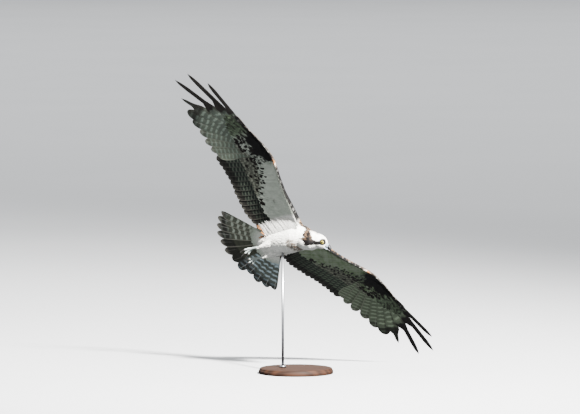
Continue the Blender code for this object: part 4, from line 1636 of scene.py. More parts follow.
    def under(self, side: Side, x: Array, s: Array) -> Tones:
        """Tones of the small feathers under a wing.

        Args:
            side: side of the bird.
            x: distances forwards.
            s: distances out from the shoulder.

        Returns:
            One row of tones a place.
        """
        flat = np.stack((x, s, x * 0), -1)
        spots, cloud = self.noise(flat, 0.007, 1.0), self.noise(flat, 0.022, 3.0)
        # Painted shade and a painted green reflection: the right underwing's ground is PALE, the
        # left's the darker, greener SHADED.
        base = PALE if side is Side.RIGHT else SHADED
        main = mix(np.tile(base, (len(x), 1)), WHITE, ramp(s, 0.045, 0.025) + 0.22 * cloud)
        faint = np.zeros(len(x))
        for at_x, wide_x, at_s, wide_s in self.faint_spots:
            faint = faint + np.exp(-((x - at_x) / wide_x) ** 2 - ((s - at_s) / wide_s) ** 2)
        main = mix(main, BROWN, faint * ramp(spots, 0.45, 0.60) * 0.65)
        # Rust at the wing's rear root stands for sunlit brown feathers: a painted highlight.
        main = mix(main, RUST, ramp(s, 0.030, 0.022) * ramp(x, -0.116, -0.124))
        hand = ramp(s, 0.385, 0.43)
        # The hand's underside ground HAND, darkened further, carries painted shade and a painted
        # green reflection.
        main = mix(main, HAND * 0.8, hand)
        main = mix(main, DARK, hand * ramp(spots, 0.52, 0.62) * 0.8)
        edge = line_at(CARPAL, s) + 0.012 * (cloud - 0.5)
        patch = ramp(s, 0.258, 0.270) * ramp(x - edge, -0.003, 0.004)
        blots = ramp(s, 0.245, 0.275) * ramp(s, 0.43, 0.40) * ramp(spots, 0.46, 0.54)
        blots = blots * ramp(x, -0.006, 0.008)
        patch = patch * (1 - 0.5 * ramp(spots, 0.60, 0.72) * ramp(edge + 0.040 - x, 0.0, 0.012))
        main = mix(main, BLACK, np.maximum(patch, blots))
        lead = self.wings[side].lead(s)
        main = main * (1 - 0.5 * ramp(x, lead - 0.018, lead - 0.008) * ramp(s, 0.0, 0.06))[:, None]
        rim = ramp(x, lead - 0.0075, lead - 0.0035) * ramp(s, -0.01, 0.01)
        fleck = 0.10 if side is Side.RIGHT else 0.16
        main = mix(main, mix(BLACK, WHITE, ramp(spots, 0.70, 0.84) * fleck), rim)
        wrist = np.exp(-((s - 0.256) / 0.012) ** 2) * ramp(x, lead - 0.014, lead - 0.007)
        main = mix(main, mix(mix(RUST, BUFF, 0.5), WHITE, ramp(spots, 0.45, 0.70) * 0.5), wrist)
        tones = Tones.of(main)
        tones.mark = mix(main, DARK, 0.3)
        return tones

    def upper(self, side: Side, x: Array, s: Array) -> Tones:
        """Tones of the small feathers on top of a wing.

        Args:
            side: side of the bird.
            x: distances forwards.
            s: distances out from the shoulder.

        Returns:
            One row of tones a place.
        """
        flat = np.stack((x, s, x * 0), -1)
        spots = self.noise(flat, 0.010, 5.0)
        main = mix(np.tile(BROWN, (len(x), 1)), DARK, spots * 0.8)
        lead = self.wings[side].lead(s)
        rim = ramp(x, lead - 0.034, lead - 0.022) * ramp(s, 0.24, 0.20)
        fleck = 0.0 if side is Side.RIGHT else 0.7
        main = mix(main, mix(BLACK * 0.6, BUFF, ramp(spots, 0.62, 0.72) * fleck), rim)
        tones = Tones.of(main)
        tones.tips[:, 2] = 0.42 * (spots > 0.3) * (1 - rim)
        tones.wear[:, 2] = 0.35
        return tones


@dataclass
class Coat:
    """The small feathers, rooted all over the skin."""

    skin: Skin
    flow: Flow
    plumage: Plumage
    along: Array = field(default_factory=lambda: tipward(6))
    across: Row = (-1.0, 0.0, 1.0)
    candidates: int = 300_000
    slope: float = 0.072
    apart: float = 0.25
    slim: float = 0.22
    stray: float = 0.13
    roll: float = 0.12
    sink: float = 0.0003
    cling: float = 0.45
    droop: float = 0.16
    thickness: float = 0.00025
    sizes: Row = (0.88, 1.12)
    shades: Row = (0.88, 1.06)
    eye_gap: float = 0.0014
    hand_end: float = 0.455
    face_end: float = 0.0262

    def roots(self) -> tuple[Array, Array]:
        """Random places on the skin, closer together on the head.

        Returns:
            The places and the normals there.
        """
        rng = Draw.ROOTS.start()
        mesh = self.skin.mesh
        mesh.calc_loop_triangles()
        corners = np.empty(len(mesh.loop_triangles) * 3, np.int32)
        mesh.loop_triangles.foreach_get("vertices", corners)
        corners = corners.reshape(-1, 3)
        a, b, c = (self.skin.points[corners[:, part]] for part in range(3))
        area = np.linalg.norm(np.cross(b - a, c - a), axis=1)
        held = self.flow.head.inward((a + b + c) / 3)
        near = ramp(np.linalg.norm(held + (0.01, 0, 0), axis=1), 0.075, 0.045)
        chance = area * (1 + 9 * near)
        pick = rng.choice(len(corners), self.candidates, p=chance / chance.sum())
        u, v = rng.random((2, self.candidates))
        over = u + v > 1
        u, v = np.where(over, 1 - u, u), np.where(over, 1 - v, v)
        points = a[pick] + (b - a)[pick] * u[:, None] + (c - a)[pick] * v[:, None]
        first, second, third = (self.skin.normals[corners[pick, part]] for part in range(3))
        normals = first * (1 - u - v)[:, None] + second * u[:, None] + third * v[:, None]
        return points, unit(normals)

    def lengths(self, points: Array, shares: dict[str, Array]) -> Array:
        """How long the feather rooted at each place is, 0 where there is none.

        Args:
            points: places in the bird's frame, one a row.
            shares: how much each place belongs to each part of the bird.

        Returns:
            One length a place.
        """
        held = self.flow.head.inward(points)
        x = held[:, 0]
        face = np.interp(x, (-0.05, -0.02, 0.010, 0.029), (0.013, 0.0090, 0.0056, 0.0024))
        throat = np.interp(x, (-0.10, -0.05), (0.020, 0.014))
        trunk = np.interp(points[:, 0], (-0.18, -0.05, 0.06), (0.026, 0.022, 0.017))
        size = shares["head"] * face + shares["neck"] * throat + shares["torso"] * trunk
        for side in Side:
            sheet = self.flow.wings[side]
            front, s = sheet.find(points)
            behind = sheet.lead(s) - front
            wing = np.interp(behind, (0.0, 0.006, 0.03, 0.07), (0.0060, 0.0080, 0.014, 0.021))
            wing = np.where(self.rear(side, front, s) > 0.90, 0.0, wing)
            size = size + shares["wing_" + side.name] * wing + shares["leg_" + side.name] * 0.014
            eye = held - mirrored(self.flow.head.eye, side)
            near = np.linalg.norm(eye, axis=1) < self.flow.head.eye_radius + self.eye_gap
            size = np.where(near | (s > self.hand_end), 0.0, size)
        bare = (x > self.face_end) & (np.linalg.norm(held, axis=1) < 0.060)
        return np.where(bare, 0.0, size)

    def rear(self, side: Side, x: Array, s: Array) -> Array:
        """How far back places are on a wing's flesh, as a share of its depth.

        Args:
            side: side of the bird.
            x: distances forwards.
            s: distances out from the shoulder.

        Returns:
            Shares, 1 at the rear end.
        """
        sheet = self.flow.wings[side]
        chord = sheet.lead(s) - sheet.trail(s)
        return (sheet.lead(s) - x) / chord / sheet.flesh(s)

    def thin(self, points: Array, length: Array) -> Array:
        """Picks roots that keep a distance from each other.

        Args:
            points: candidate places.
            length: the feather's length at each.

        Returns:
            Numbers of the places that are kept.
        """
        tree = KDTree(len(points))
        for row, point in enumerate(points):
            tree.insert(point, row)
        tree.balance()
        left = length > 0.001
        kept = []
        for row in range(len(points)):
            if left[row]:
                kept.append(row)
                for _, other, _ in tree.find_range(points[row], float(length[row]) * self.apart):
                    left[other] = False
        return np.array(kept)

    def lay(self, points: Array, normals: Array, length: Array, edge: Array) -> dict[Face, Array]:
        """Points of both faces of every feather, which follow the skin.

        Args:
            points: the roots.
            normals: the skin's normals there.
            length: the feathers' lengths.
            edge: whether each is near a wing's leading edge, and so always follows the skin.

        Returns:
            Points by face.
        """
        rng = Draw.LIE.start()
        ahead = self.flow.along(points) + rng.normal(0, self.stray, points.shape)
        ahead = unit(ahead - np.sum(ahead * normals, -1, keepdims=True) * normals)
        reach = points[:, None] + ahead[:, None] * (length[:, None] * self.along)[..., None]
        laid, out = self.skin.fall(reach.reshape(-1, 3))
        laid, out = laid.reshape(reach.shape), out.reshape(reach.shape)
        close = np.linalg.norm(laid - reach, axis=-1) < length[:, None] * self.cling
        laid = np.where((close | edge[:, None])[..., None], laid, reach)
        out = unit(out + normals[:, None] * 0.6)
        lift = length[:, None] * self.slope * self.along - self.sink
        centre = laid + out * lift[..., None]
        forward = unit(np.gradient(centre, axis=1))
        tilt = rng.normal(0, self.roll, len(points))
        side = unit(np.cross(out, forward))
        side = unit(side + out * tilt[:, None, None])
        offset = np.array(self.across)[None, None]
        width = (length[:, None] * self.slim * CONTOUR.at(self.along))[..., None] * offset
        base = centre[:, :, None] + side[:, :, None] * width[..., None]
        base = base - out[:, :, None] * (np.abs(width) * self.droop)[..., None]
        bow = out[:, :, None] * ((1 - offset ** 2) * self.thickness)[..., None]
        return {face: base + bow * face.value for face in Face}

    def build(self, pose: Matrix, material: bpy.types.Material) -> list[Piece]:
        """Makes the small feathers of the whole bird.

        Args:
            pose: the move to the row frame.
            material: the feathers' finish.

        Returns:
            The pieces.
        """
        points, normals = self.roots()
        shares = self.flow.shares(points)
        length = self.lengths(points, shares)
        steep = np.abs(np.sum(self.flow.along(points) * normals, -1))
        length = length * (1 - 0.55 * ramp(steep, 0.45, 0.85))
        kept = self.thin(points, length)
        points, normals, length = points[kept], normals[kept], length[kept]
        shares = {key: value[kept] for key, value in shares.items()}
        rng = Draw.LENGTHS.start()
        length = length * rng.uniform(*self.sizes, len(length))
        edge = np.zeros(len(points), bool)
        for side in Side:
            sheet = self.flow.wings[side]
            x, s = sheet.find(points)
            edge |= (shares["wing_" + side.name] > 0.5) & (sheet.lead(s) - x < 0.03)
        laid = self.lay(points, normals, length, edge)
        middle = laid[Face.UPPER][:, 3, 1].astype(float)
        tones = self.plumage.bird(middle, normals, shares)
        jitter = rng.uniform(*self.shades, len(points))[:, None]
        tones.main, tones.mark = tones.main * jitter, tones.mark * jitter
        made = []
        for name, chosen in self.groups(shares).items():
            home = self.home(name, points[chosen])
            both = dict.fromkeys(Face, tones.pick(chosen))
            points_in = {face: laid[face][chosen] for face in Face}
            vanes = Vanes(points_in, both, home, self.across, self.along)
            made.append(vanes.build(name, pose, material))
            LOG.info("%s: %d feathers", name, int(chosen.sum()))
        return made

    def groups(self, shares: dict[str, Array]) -> dict[str, Array]:
        """Which feathers go into which piece.

        Args:
            shares: how much each place belongs to each part of the bird.

        Returns:
            Which feathers are chosen, by the piece's name.
        """
        right, left = shares["wing_RIGHT"] > 0.5, shares["wing_LEFT"] > 0.5
        head = (shares["head"] + shares["neck"] > 0.5) & ~right & ~left
        rest = ~(right | left | head)
        return {"coat_head": head, "coat_body": rest,
                "coat_wing_right": right, "coat_wing_left": left}

    def home(self, name: str, points: Array) -> Array:
        """Places on an unwrap of the skin: round and along the trunk, or flat for a wing.

        Args:
            name: the piece's name.
            points: the feathers' roots.

        Returns:
            U and v of each feather, from 0 to 1.
        """
        if name.startswith("coat_wing"):
            sheet = self.flow.wings[Side.RIGHT if name.endswith("right") else Side.LEFT]
            x, s = sheet.find(points)
            above = points[:, 2] > sheet.place(x, s, x * 0)[:, 2]
            v = within(x, WING_MAP) * 0.49
            return np.stack((s / WING_REACH, np.where(above, 0.505 + v, v)), -1)
        if name == "coat_head":
            held = self.flow.head.inward(points)
            return np.stack((rolled(held), within(held[:, 0], HEAD_MAP)), -1)
        return np.stack((rolled(points, TRUNK_AXIS), within(points[:, 0], TRUNK_MAP)), -1)


@dataclass(kw_only=True)
class LargeFeathers:
    """Long feathers and coverts that are laid one by one."""

    rows: int = 30
    across: Row = (-1.0, -0.6, -0.25, 0.0, 0.25, 0.6, 1.0)
    short_across: Row = (-1.0, -0.45, 0.0, 0.45, 1.0)
    short_along: Array = field(default_factory=lambda: tipward(13))
    thickness: float = 0.0007

    @property
    def along(self) -> Array:
        """Shares of a long feather's length, one a row."""
        return tipward(self.rows)

    def grid(self, short: bool) -> tuple[Array, Array]:
        """A column of shares along and a row of shares across, of a covert or a long feather."""
        found = (self.short_along, self.short_across) if short else (self.along, self.across)
        return found[0][:, None], np.array(found[1])[None]

    def bow(self, t: Array, offset: Array) -> Array:
        """Half the thickness of a vane, at shares along and across."""
        return (1 - offset ** 2) * (1 - 0.5 * t) * self.thickness / 2


@dataclass
class WingFeathers(LargeFeathers):
    """The flight feathers of one wing, with their coverts and the long feathers of the armpit."""

    sheet: WingSheet
    plumage: Plumage
    tilt: float = 0.10
    finger: float = 0.0098
    scatter: Row = (0.0016, 0.0018)
    ruffle: float = 0.0003
    secondaries: int = 16
    hand_rows: tuple[Row, ...] = (
        (0.0, 0.44, 0.0112, 0.0026, 13), (-0.05, 0.34, 0.0086, 0.0036, 16),
        (-0.09, 0.26, 0.0074, 0.0044, 19), (-0.13, 0.19, 0.0066, 0.0050, 22),
    )
    arm_rows: tuple[Row, ...] = (
        (0.26, 0.63, 0.0122, 0.0032, 22), (0.21, 0.54, 0.0094, 0.0041, 29),
        (0.17, 0.47, 0.0080, 0.0049, 34), (0.13, 0.405, 0.0070, 0.0056, 39),
        (0.10, 0.345, 0.0062, 0.0062, 44),
    )
    secondary_half: float = 0.0182
    first_half: float = 0.026
    armpit_rows: tuple[Row, ...] = (
        (38, 1.0, 0.0018, -0.014), (36, 0.80, 0.0028, -0.013), (34, 0.60, 0.0038, -0.012),
    )
    armpit_sunk: float = 0.0080
    primaries: tuple[Row, ...] = (
        (-0.1410, 0.3590, 0.030, 0.021, 1.00), (-0.1465, 0.3880, 0.022, 0.022, 1.00),
        (-0.1380, 0.4330, 0.024, 0.024, 1.00), (-0.1200, 0.4850, 0.027, 0.026, 1.00),
        (-0.1090, 0.5410, 0.029, 0.026, 1.00), (-0.0940, 0.5900, 0.030, 0.024, 1.00),
        (-0.0750, 0.6500, 0.030, 0.021, 0.78), (-0.0360, 0.7340, 0.029, 0.014, 0.56),
        (0.0370, 0.7400, 0.026, 0.011, 0.52), (0.0880, 0.6720, 0.021, 0.008, 0.46),
    )
    # The right and left copies of the flight feathers' under tones differ by painted light, and
    # their green tint is a painted reflection from the ground.
    secondary_tones: tuple[tuple[Array, Array], ...] = (
        (tone(88, 96, 84), tone(27, 32, 30)), (tone(104, 116, 98), tone(42, 49, 42)),
    )
    primary_tones: tuple[Array, ...] = (tone(120, 132, 120), tone(136, 150, 126))
    primary_tips: tuple[Row, ...] = (
        (0.90, 0.12), (0.90, 0.18), (0.88, 0.28), (0.86, 0.42), (0.84, 0.60),
        (0.82, 0.75), (0.68, 0.90), (0.46, 1.00), (0.36, 1.00), (0.34, 1.00),
    )

    def primary_root(self, index: float) -> tuple[float, float]:
        """Where a primary's quill starts."""
        t = index / (len(self.primaries) - 1)
        return 0.045 + 0.039 * t, 0.300 + 0.115 * t ** 0.9

    def lay(self, root: Row, tip: Row, inner: Array, outer: Array, lift: float,
            hand: bool | None, short: bool) -> dict[Face, Array]:
        """Points of both faces of one feather.

        Args:
            root: x and s of the quill's start.
            tip: x and s of the tip.
            inner: width of the inner vane at each row.
            outer: width of the outer vane at each row.
            lift: height off the sheet.
            hand: whether the feather belongs to the hand, or None for either.
            short: whether it is a covert, which keeps to its own side of the parting.

        Returns:
            Points by face.
        """
        root, tip = np.array(root), np.array(tip)
        t, offset = self.grid(short)
        ahead = (tip - root) / np.linalg.norm(tip - root)
        outward = np.array((ahead[1], -ahead[0]))
        move = offset * np.where(offset < 0, inner[:, None], outer[:, None])
        x = root[0] + (tip[0] - root[0]) * t + outward[0] * move
        s = root[1] + (tip[1] - root[1]) * t + outward[1] * move
        past = 0.012 if short else np.interp(t, (0.42, 0.56, 0.70), (-0.0002, 0.006, 0.014))
        limit = self.sheet.parting(x)
        kept = s
        if hand is not None:
            kept = np.maximum(s, limit - past) if hand else np.minimum(s, limit + past)
        height = lift + self.tilt * (move + (kept - s) * outward[1])
        bow = self.bow(t, offset)
        return {face: self.sheet.place(x, kept, height + face.value * bow) for face in Face}

    def remiges(self) -> tuple[dict[Face, Array], list[tuple[int, bool]]]:
        """Points of every flight feather, and which each is.

        Returns:
            The points by face, and the number of each feather with whether it is a primary.
        """
        laid, kinds = [], []
        share = REMEX.at(self.along)
        for index, (tip_x, tip_s, inner, outer, notch) in enumerate(self.primaries):
            if notch == 1.0:
                widths = inner * share, outer * share
            else:
                widths = self.fingered(inner, outer, notch)
            root = self.primary_root(index)
            laid.append(self.lay(root, (tip_x, tip_s), *widths, 0.0, True, False))
            kinds.append((index, True))
        for index in range(self.secondaries):
            q = 1 - (index + 0.42) / self.secondaries * 0.98
            root, tip = self.sheet.chord(q, 0.22), np.array(self.sheet.chord(q, 1.0))
            tip[0] -= 0.002 * (index % 2)
            inner = self.secondary_half
            outer = inner if index else self.first_half
            laid.append(self.lay(root, tip, inner * share, outer * share, 0.0, False, False))
            kinds.append((index, False))
        return gather(laid), kinds

    def fingered(self, inner: float, outer: float, notch: float) -> tuple[Array, Array]:
        """Widths of an outer primary that narrows at its notch to a long finger.

        Args:
            inner: full width of the inner vane.
            outer: full width of the outer vane.
            notch: share of the length where the finger starts.

        Returns:
            Widths of the inner and outer vane at each row.
        """
        half = self.finger
        places = (0.0, notch * 0.55, notch - 0.05, notch + 0.05, 0.84, 0.94, 1.0)
        slim = min(outer, half)
        inside = (inner * 0.4, inner * 0.85, inner, half, half * 0.98, half * 0.72, 0.0006)
        outside = (outer * 0.5, outer * 0.9, outer, slim, slim * 0.95, slim * 0.62, 0.0006)
        return np.interp(self.along, places, inside), np.interp(self.along, places, outside)

    def remex_tones(self, kinds: list[tuple[int, bool]], face: Face) -> Tones:
        """Tones of the flight feathers on one face.

        Args:
            kinds: number of each feather, and whether it is a primary.
            face: face of the wing.

        Returns:
            One row of tones a feather.
        """
        tones = Tones.of(np.tile(mix(DARK, BROWN, 0.5), (len(kinds), 1)), DARK)
        for row, (index, primary) in enumerate(kinds):
            if face is Face.UPPER:
                tones.bars[row] = (11.0, 0.1 * index, 0.35)
                tones.tips[row] = (0.85, 0.6, 0.0 if primary else 0.28)
            elif primary:
                outer = index / (len(self.primaries) - 1)
                base = self.primary_tones[self.sheet.side is Side.LEFT]
                tones.main[row] = mix(base, base * 1.2, ramp(outer, 0.2, 0.6))
                tones.mark[row] = mix(OLIVE * 0.60, DARK, ramp(outer, 0.0, 0.9))
                tones.bars[row] = (12.0, 0.13 * index, 0.62 - 0.20 * ramp(outer, 0.5, 1.0))
                start, dark = self.primary_tips[index]
                tones.tips[row] = (start, dark, 0.12 * (index < 4))
                tones.wear[row] = (0.15 * (index < 5), 0.35 + 0.3 * (index > 4), 1.0)
            else:
                inner = ramp(index / self.secondaries, 0.25, 0.85)
                main, mark = self.secondary_tones[self.sheet.side is Side.LEFT]
                tones.main[row] = mix(main, main * 0.28, inner)
                tones.mark[row] = mix(mark, mark * 0.6, inner)
                tones.bars[row] = (13.5, 0.11 * index, 0.88)
                tones.tips[row] = (0.80, 0.9, 0.06)
                tones.wear[row] = (0.0, 0.9, 1.0)
        return tones

    def covers(self, face: Face) -> tuple[dict[Face, Array], Array]:
        """Points of the coverts of one face, with the place of each.

        Args:
            face: face of the wing.

        Returns:
            The points by face, and x and s near the end of each feather.
        """
        rng = Draw.COVERTS.start(face.value)
        share = COVERT.at(self.short_along)
        tips = np.array(self.primaries)[:, :2]
        laid, places = [], []
        last = len(tips) - 1
        for low, high, wide, lift, count in self.hand_rows:
            for index in range(count):
                u = last * (index + 0.5 * (count % 2)) / (count - 0.5)
                root = np.array(self.primary_root(u))
                tip = np.array([np.interp(u, range(last + 1), column) for column in tips.T])
                ends = root + (tip - root) * low, root + (tip - root) * (high - 0.011 * u)
                ends = ends[0], ends[1] + rng.normal(0, self.scatter[0], 2)
                height = face.value * (lift + rng.uniform(0, self.ruffle))
                laid.append(self.lay(*ends, wide * share, wide * share, height, True, True))
                places.append(ends[0] * 0.25 + ends[1] * 0.75)
        for low, high, wide, lift, count in self.arm_rows:
            for index in range(count):
                q = 1 - (index + 0.3 + 0.4 * (count % 2)) / count
                root, tip = np.array(self.sheet.chord(q, low)), np.array(self.sheet.chord(q, high))
                tip = tip + rng.normal(0, self.scatter[1], 2)
                height = face.value * (lift + rng.uniform(0, self.ruffle))
                laid.append(self.lay(root, tip, wide * share, wide * share, height, False, True))
                places.append(root * 0.25 + tip * 0.75)
        return gather(laid), np.array(places)

    def cover_tones(self, face: Face, points: Array, places: Array) -> Tones:
        """Tones of the coverts of one face, which are barred or blotted below.

        Args:
            face: the wing's face.
            points: the feathers' points on that face.
            places: x and s of the end of each.

        Returns:
            Their tones, with a colour for every point.
        """
        rng = Draw.COVERT_TONES.start(face.value)
        x, s = places.T
        spread = self.sheet.find(points.reshape(-1, 3))
        jitter = np.repeat(rng.uniform(0.88, 1.08, len(places)), len(spread[0]) // len(places))
        if face is Face.UPPER:
            tones = self.plumage.upper(self.sheet.side, x, s)
            tones.main = self.plumage.upper(self.sheet.side, *spread).main * jitter[:, None]
            return tones
        tones = self.plumage.under(self.sheet.side, x, s)
        main = self.plumage.under(self.sheet.side, *spread).main
        line = line_at(SPOTTED, s)
        behind = ramp(line - x, 0.002, 0.016) * ramp(s, 0.44, 0.38)
        far = line_at(SPOTTED, spread[1]) - spread[0]
        share = ramp(far, 0.012, 0.030) * ramp(spread[1], 0.44, 0.38) * 0.9
        barred = mix(OLIVE, GREY, 0.5)
        tones.main = mix(main, barred, share) * jitter[:, None]
        hand = ramp(s, 0.40, 0.44)
        tones.bars[:] = (4.2, 0.45, 0.0)
        tones.bars[:, 1] = rng.uniform(0.0, 1.0, len(places))
        tones.bars[:, 2] = np.maximum(behind * 0.6, hand * 0.4)
        tones.mark = np.tile(mix(DARK, BLACK, 0.4), (len(places), 1))
        near = ramp(x - line, 0.014, 0.004) * ramp(s, 0.06, 0.09) * ramp(s, 0.42, 0.36)
        near = near * (1 - 0.35 * ramp(line - x, 0.004, 0.020))
        carpal = ramp(s, 0.24, 0.27) * ramp(s, 0.43, 0.40) * ramp(x, -0.010, 0.010) * 0.6
        chosen = rng.random(len(places)) < np.maximum(near * 0.62, carpal)
        tones.spot[:, 0] = rng.uniform(0.74, 0.90, len(places))
        tones.spot[:, 1] = rng.uniform(0.10, 0.20, len(places))
        tones.spot[:, 2] = chosen
        return tones

    def armpit(self, body: BodyShape) -> dict[Face, Array]:
        """Points of the long white feathers between the trunk and the wing's underside.

        Args:
            body: the trunk beside the wing.

        Returns:
            The points by face.
        """
        rng = Draw.ARMPIT.start()
        rows = np.array(body.torso)[::-1]
        share = COVERT.at(self.short_along)[:, None, None]
        offset = np.array(self.short_across)[None, :, None]
        t = self.short_along[:, None]
        side = self.sheet.side.value
        laid: dict[Face, list[Array]] = {face: [] for face in Face}
        for count, reach, lift, depth in self.armpit_rows:
            for index in range(count):
                x = 0.048 - 0.168 * (index + rng.uniform(-0.35, 0.35)) / (count - 1)
                half, top, floor = (float(np.interp(x, rows[:, 0], rows[:, part]))
                                    for part in (1, 2, 3))
                low = (top + floor) / 2 + depth
                swell = math.sqrt(1 - (depth / ((top - floor) / 2)) ** 2)
                root = np.array((x, side * (half * swell - self.armpit_sunk), low))
                size = reach * (0.30 + 0.70 * float(ramp(-x, -0.056, -0.006)))
                size *= rng.uniform(0.74, 1.14)
                s, back = 0.034 * size, 0.046 * size + rng.normal(0, 0.002)
                under = float(self.sheet.core(np.array((x - back,)), np.array((s,)))[0]) + lift
                tip = self.sheet.place(x - back, s, -under)
                bend = (root + tip) / 2 + np.array((0.004, -side * 0.0005, 0.0015))
                line = (1 - t) ** 2 * root + 2 * t * (1 - t) * bend + t ** 2 * tip
                ahead = unit(np.gradient(line, axis=0))
                out = unit(np.cross(ahead, (-1.0, 0.0, 0.0))) * side
                out = np.where(out[:, 2:] > 0, -out, out)
                across = unit(np.cross(out, ahead))
                spread = across[:, None] * offset * share * rng.uniform(0.0050, 0.0068)
                place = line[:, None] + spread
                tilt = across[:, None, :1] * offset * 0.0012
                bow = (1 - offset ** 2) * self.thickness / 2
                for face in Face:
                    laid[face].append(place + out[:, None] * (tilt - face.value * bow))
        return {face: np.array(laid[face]) for face in Face}

    def build(self, body: BodyShape, pose: Matrix, material: bpy.types.Material) -> list[Piece]:
        """Makes the wing's large feathers.

        Args:
            body: the trunk beside the wing.
            pose: the move to the row frame.
            material: the feathers' finish.

        Returns:
            The pieces.
        """
        side = self.sheet.side.name.lower()
        points, kinds = self.remiges()
        tones = {face: self.remex_tones(kinds, face) for face in Face}
        home = np.zeros((len(kinds), 2))
        vanes = Vanes(points, tones, home, self.across, self.along, island=True)
        made = [vanes.build("flight_feathers_" + side, pose, material)]
        for face in Face:
            laid, places = self.covers(face)
            tones = self.cover_tones(face, laid[face], places)
            name = "coverts_%s_%s" % (side, face.name.lower())
            made.append(self.piece(name, laid, places, tones, pose, material))
        laid = self.armpit(body)
        places = np.stack(self.sheet.find(laid[Face.UPPER][:, 0, 2]), -1)
        shade = np.linspace(0.94, 1.0, 7)[np.arange(len(places)) % 7, None]
        # The rearmost axillars turn rust, a painted highlight of sunlit brown feathers at the
        # tail's root.
        tones = Tones.of(mix(WHITE * shade, RUST, 0.9 * ramp(-places[:, 0], 0.110, 0.115)))
        made.append(self.piece("axillars_" + side, laid, places, tones, pose, material))
        return made

    def piece(self, name: str, laid: dict[Face, Array], places: Array, tones: Tones,
              pose: Matrix, material: bpy.types.Material) -> Piece:
        """One piece of coverts.

        Args:
            name: the piece's name.
            laid: the feathers' points by face.
            places: x and s of each feather.
            tones: their tones.
            pose: the move to the row frame.
            material: the piece's finish.

        Returns:
            The piece.
        """
        home = np.stack((places[:, 1] / 0.75 + 0.03, (places[:, 0] + 0.19) / 0.31), -1)
        both = dict.fromkeys(Face, tones)
        vanes = Vanes(laid, both, home, self.short_across, self.short_along)
        return vanes.build(name, pose, material)


@dataclass
class TailFeathers(LargeFeathers):
    """The twelve feathers of the spread tail and their coverts."""

    fan: TailFan
    start: float = 0.088
    halves: Row = (0.026, 0.018)
    outermost: Row = (0.031, 0.010)
    bar_step: float = 0.0275
    last_bar: float = 0.243
    tip_bar: float = 0.250
    # The right and left halves' pale grounds differ by painted light: the right's is greener, the
    # left's bluer.
    pale: tuple[Array, ...] = (tone(176, 184, 168), tone(186, 206, 212))
    cover_rows: tuple[Row, ...] = (
        (0.090, 0.160, 0.130, 0.0090), (0.080, 0.148, 0.121, 0.0080),
        (0.068, 0.134, 0.110, 0.0072),
    )
    cover_angle: float = 40.0

    def lay(self, angle: float, start: float, end: float, inner: float, outer: float, lift: float,
            short: bool) -> dict[Face, Array]:
        """Points of both faces of one feather along its own ray.

        Args:
            angle: degrees to the left of the tail's middle.
            start: distance of the root from the fan's origin.
            end: distance of the tip.
            inner: half width on the right.
            outer: half width on the left.
            lift: height off the fan.
            short: whether it is a covert.

        Returns:
            The points by face.
        """
        t, offset = self.grid(short)
        outline = COVERT if short else RECTRIX
        reach = start + (end - start) * t
        width = offset * np.where(offset < 0, inner, outer) * outline.at(t)
        turn = angle + np.degrees(np.arctan2(width, reach))
        bow = self.bow(t, offset)
        far = np.hypot(reach, width)
        return {face: self.fan.place(turn, far, lift + face.value * bow) for face in Face}

    def rectrices(self) -> tuple[dict[Face, Array], dict[Face, Tones]]:
        """Points and tones of the large feathers.

        Returns:
            The points and the tones, each by face.
        """
        laid, kinds = [], []
        for index in range(self.fan.pairs):
            inner, outer = self.outermost if index == self.fan.pairs - 1 else self.halves
            for side in Side:
                angle, length = self.fan.ray(side, index)
                lift = -0.0012 * index - (0.0010 if side is Side.LEFT else 0.0)
                widths = (inner, outer) if side is Side.LEFT else (outer, inner)
                laid.append(self.lay(angle, self.start, length, *widths, lift, False))
                kinds.append((index, side, length - self.start))
        brown = mix(BROWN, OLIVE, 0.3)
        tones = {face: Tones.of(np.tile(brown, (len(laid), 1)), DARK) for face in Face}
        for row, (index, side, length) in enumerate(kinds):
            count = length / self.bar_step
            phase = 0.25 - (self.last_bar - self.start) / length * count
            tones[Face.UPPER].bars[row] = (count, phase % 1.0, 0.8)
            tones[Face.UPPER].tips[row] = (0.80, 0.6, 0.5)
            # The middle feathers underneath are painted dark, with fainter bars and shafts:
            # painted shade.
            middle = index == 0 or (index == 1 and side is Side.RIGHT)
            below = tones[Face.UNDER]
            below.main[row] = OLIVE * 0.40 if middle else self.pale[side is Side.LEFT]
            below.mark[row] = mix(DARK, OLIVE, 0.55)
            below.bars[row] = (count, phase % 1.0, 0.5 if middle else 0.9)
            dark_from = (self.tip_bar - self.start) / length
            below.tips[row] = (dark_from, 0.75, 0.30 * (side is Side.RIGHT))
            below.wear[row] = (0.1 if middle else 0.45, 0.45 * side.value, 1.0)
        return gather(laid), tones

    def build(self, pose: Matrix, material: bpy.types.Material) -> list[Piece]:
        """Makes the tail's feathers.

        Args:
            pose: the move to the row frame.
            material: the feathers' finish.

        Returns:
            The pieces.
        """
        points, tones = self.rectrices()
        home = np.zeros((2 * self.fan.pairs, 2))
        vanes = Vanes(points, tones, home, self.across, self.along, island=True)
        made = [vanes.build("tail_feathers", pose, material)]
        for face, height, colour, late in ((Face.UPPER, 0.0016, BROWN, DARK),
                                           (Face.UNDER, -0.0086, PALE, WHITE)):
            pieces, home = [], []
            for row, (low, far, near, wide) in enumerate(self.cover_rows):
                count = 19 + 2 * row
                for index in range(count):
                    across = index / (count - 1) * 2 - 1
                    end = far + (near - far) * across ** 2 - 0.004 * (index % 2)
                    lift = height + face.value * (0.0010 * row + 0.0004 * (index % 2))
                    angle = across * self.cover_angle
                    pieces.append(self.lay(angle, low, end, wide, wide, lift, True))
                    home.append((index / (count - 1), 0.2 + 0.25 * row))
            share = np.linspace(0.0, 1.0, len(home))
            tones = Tones.of(mix(np.tile(colour, (len(home), 1)), late, share * 0.7))
            vanes = Vanes(gather(pieces), dict.fromkeys(Face, tones), np.array(home),
                          self.short_across, self.short_along)
            made.append(vanes.build("tail_coverts_" + face.name.lower(), pose, material))
        return made


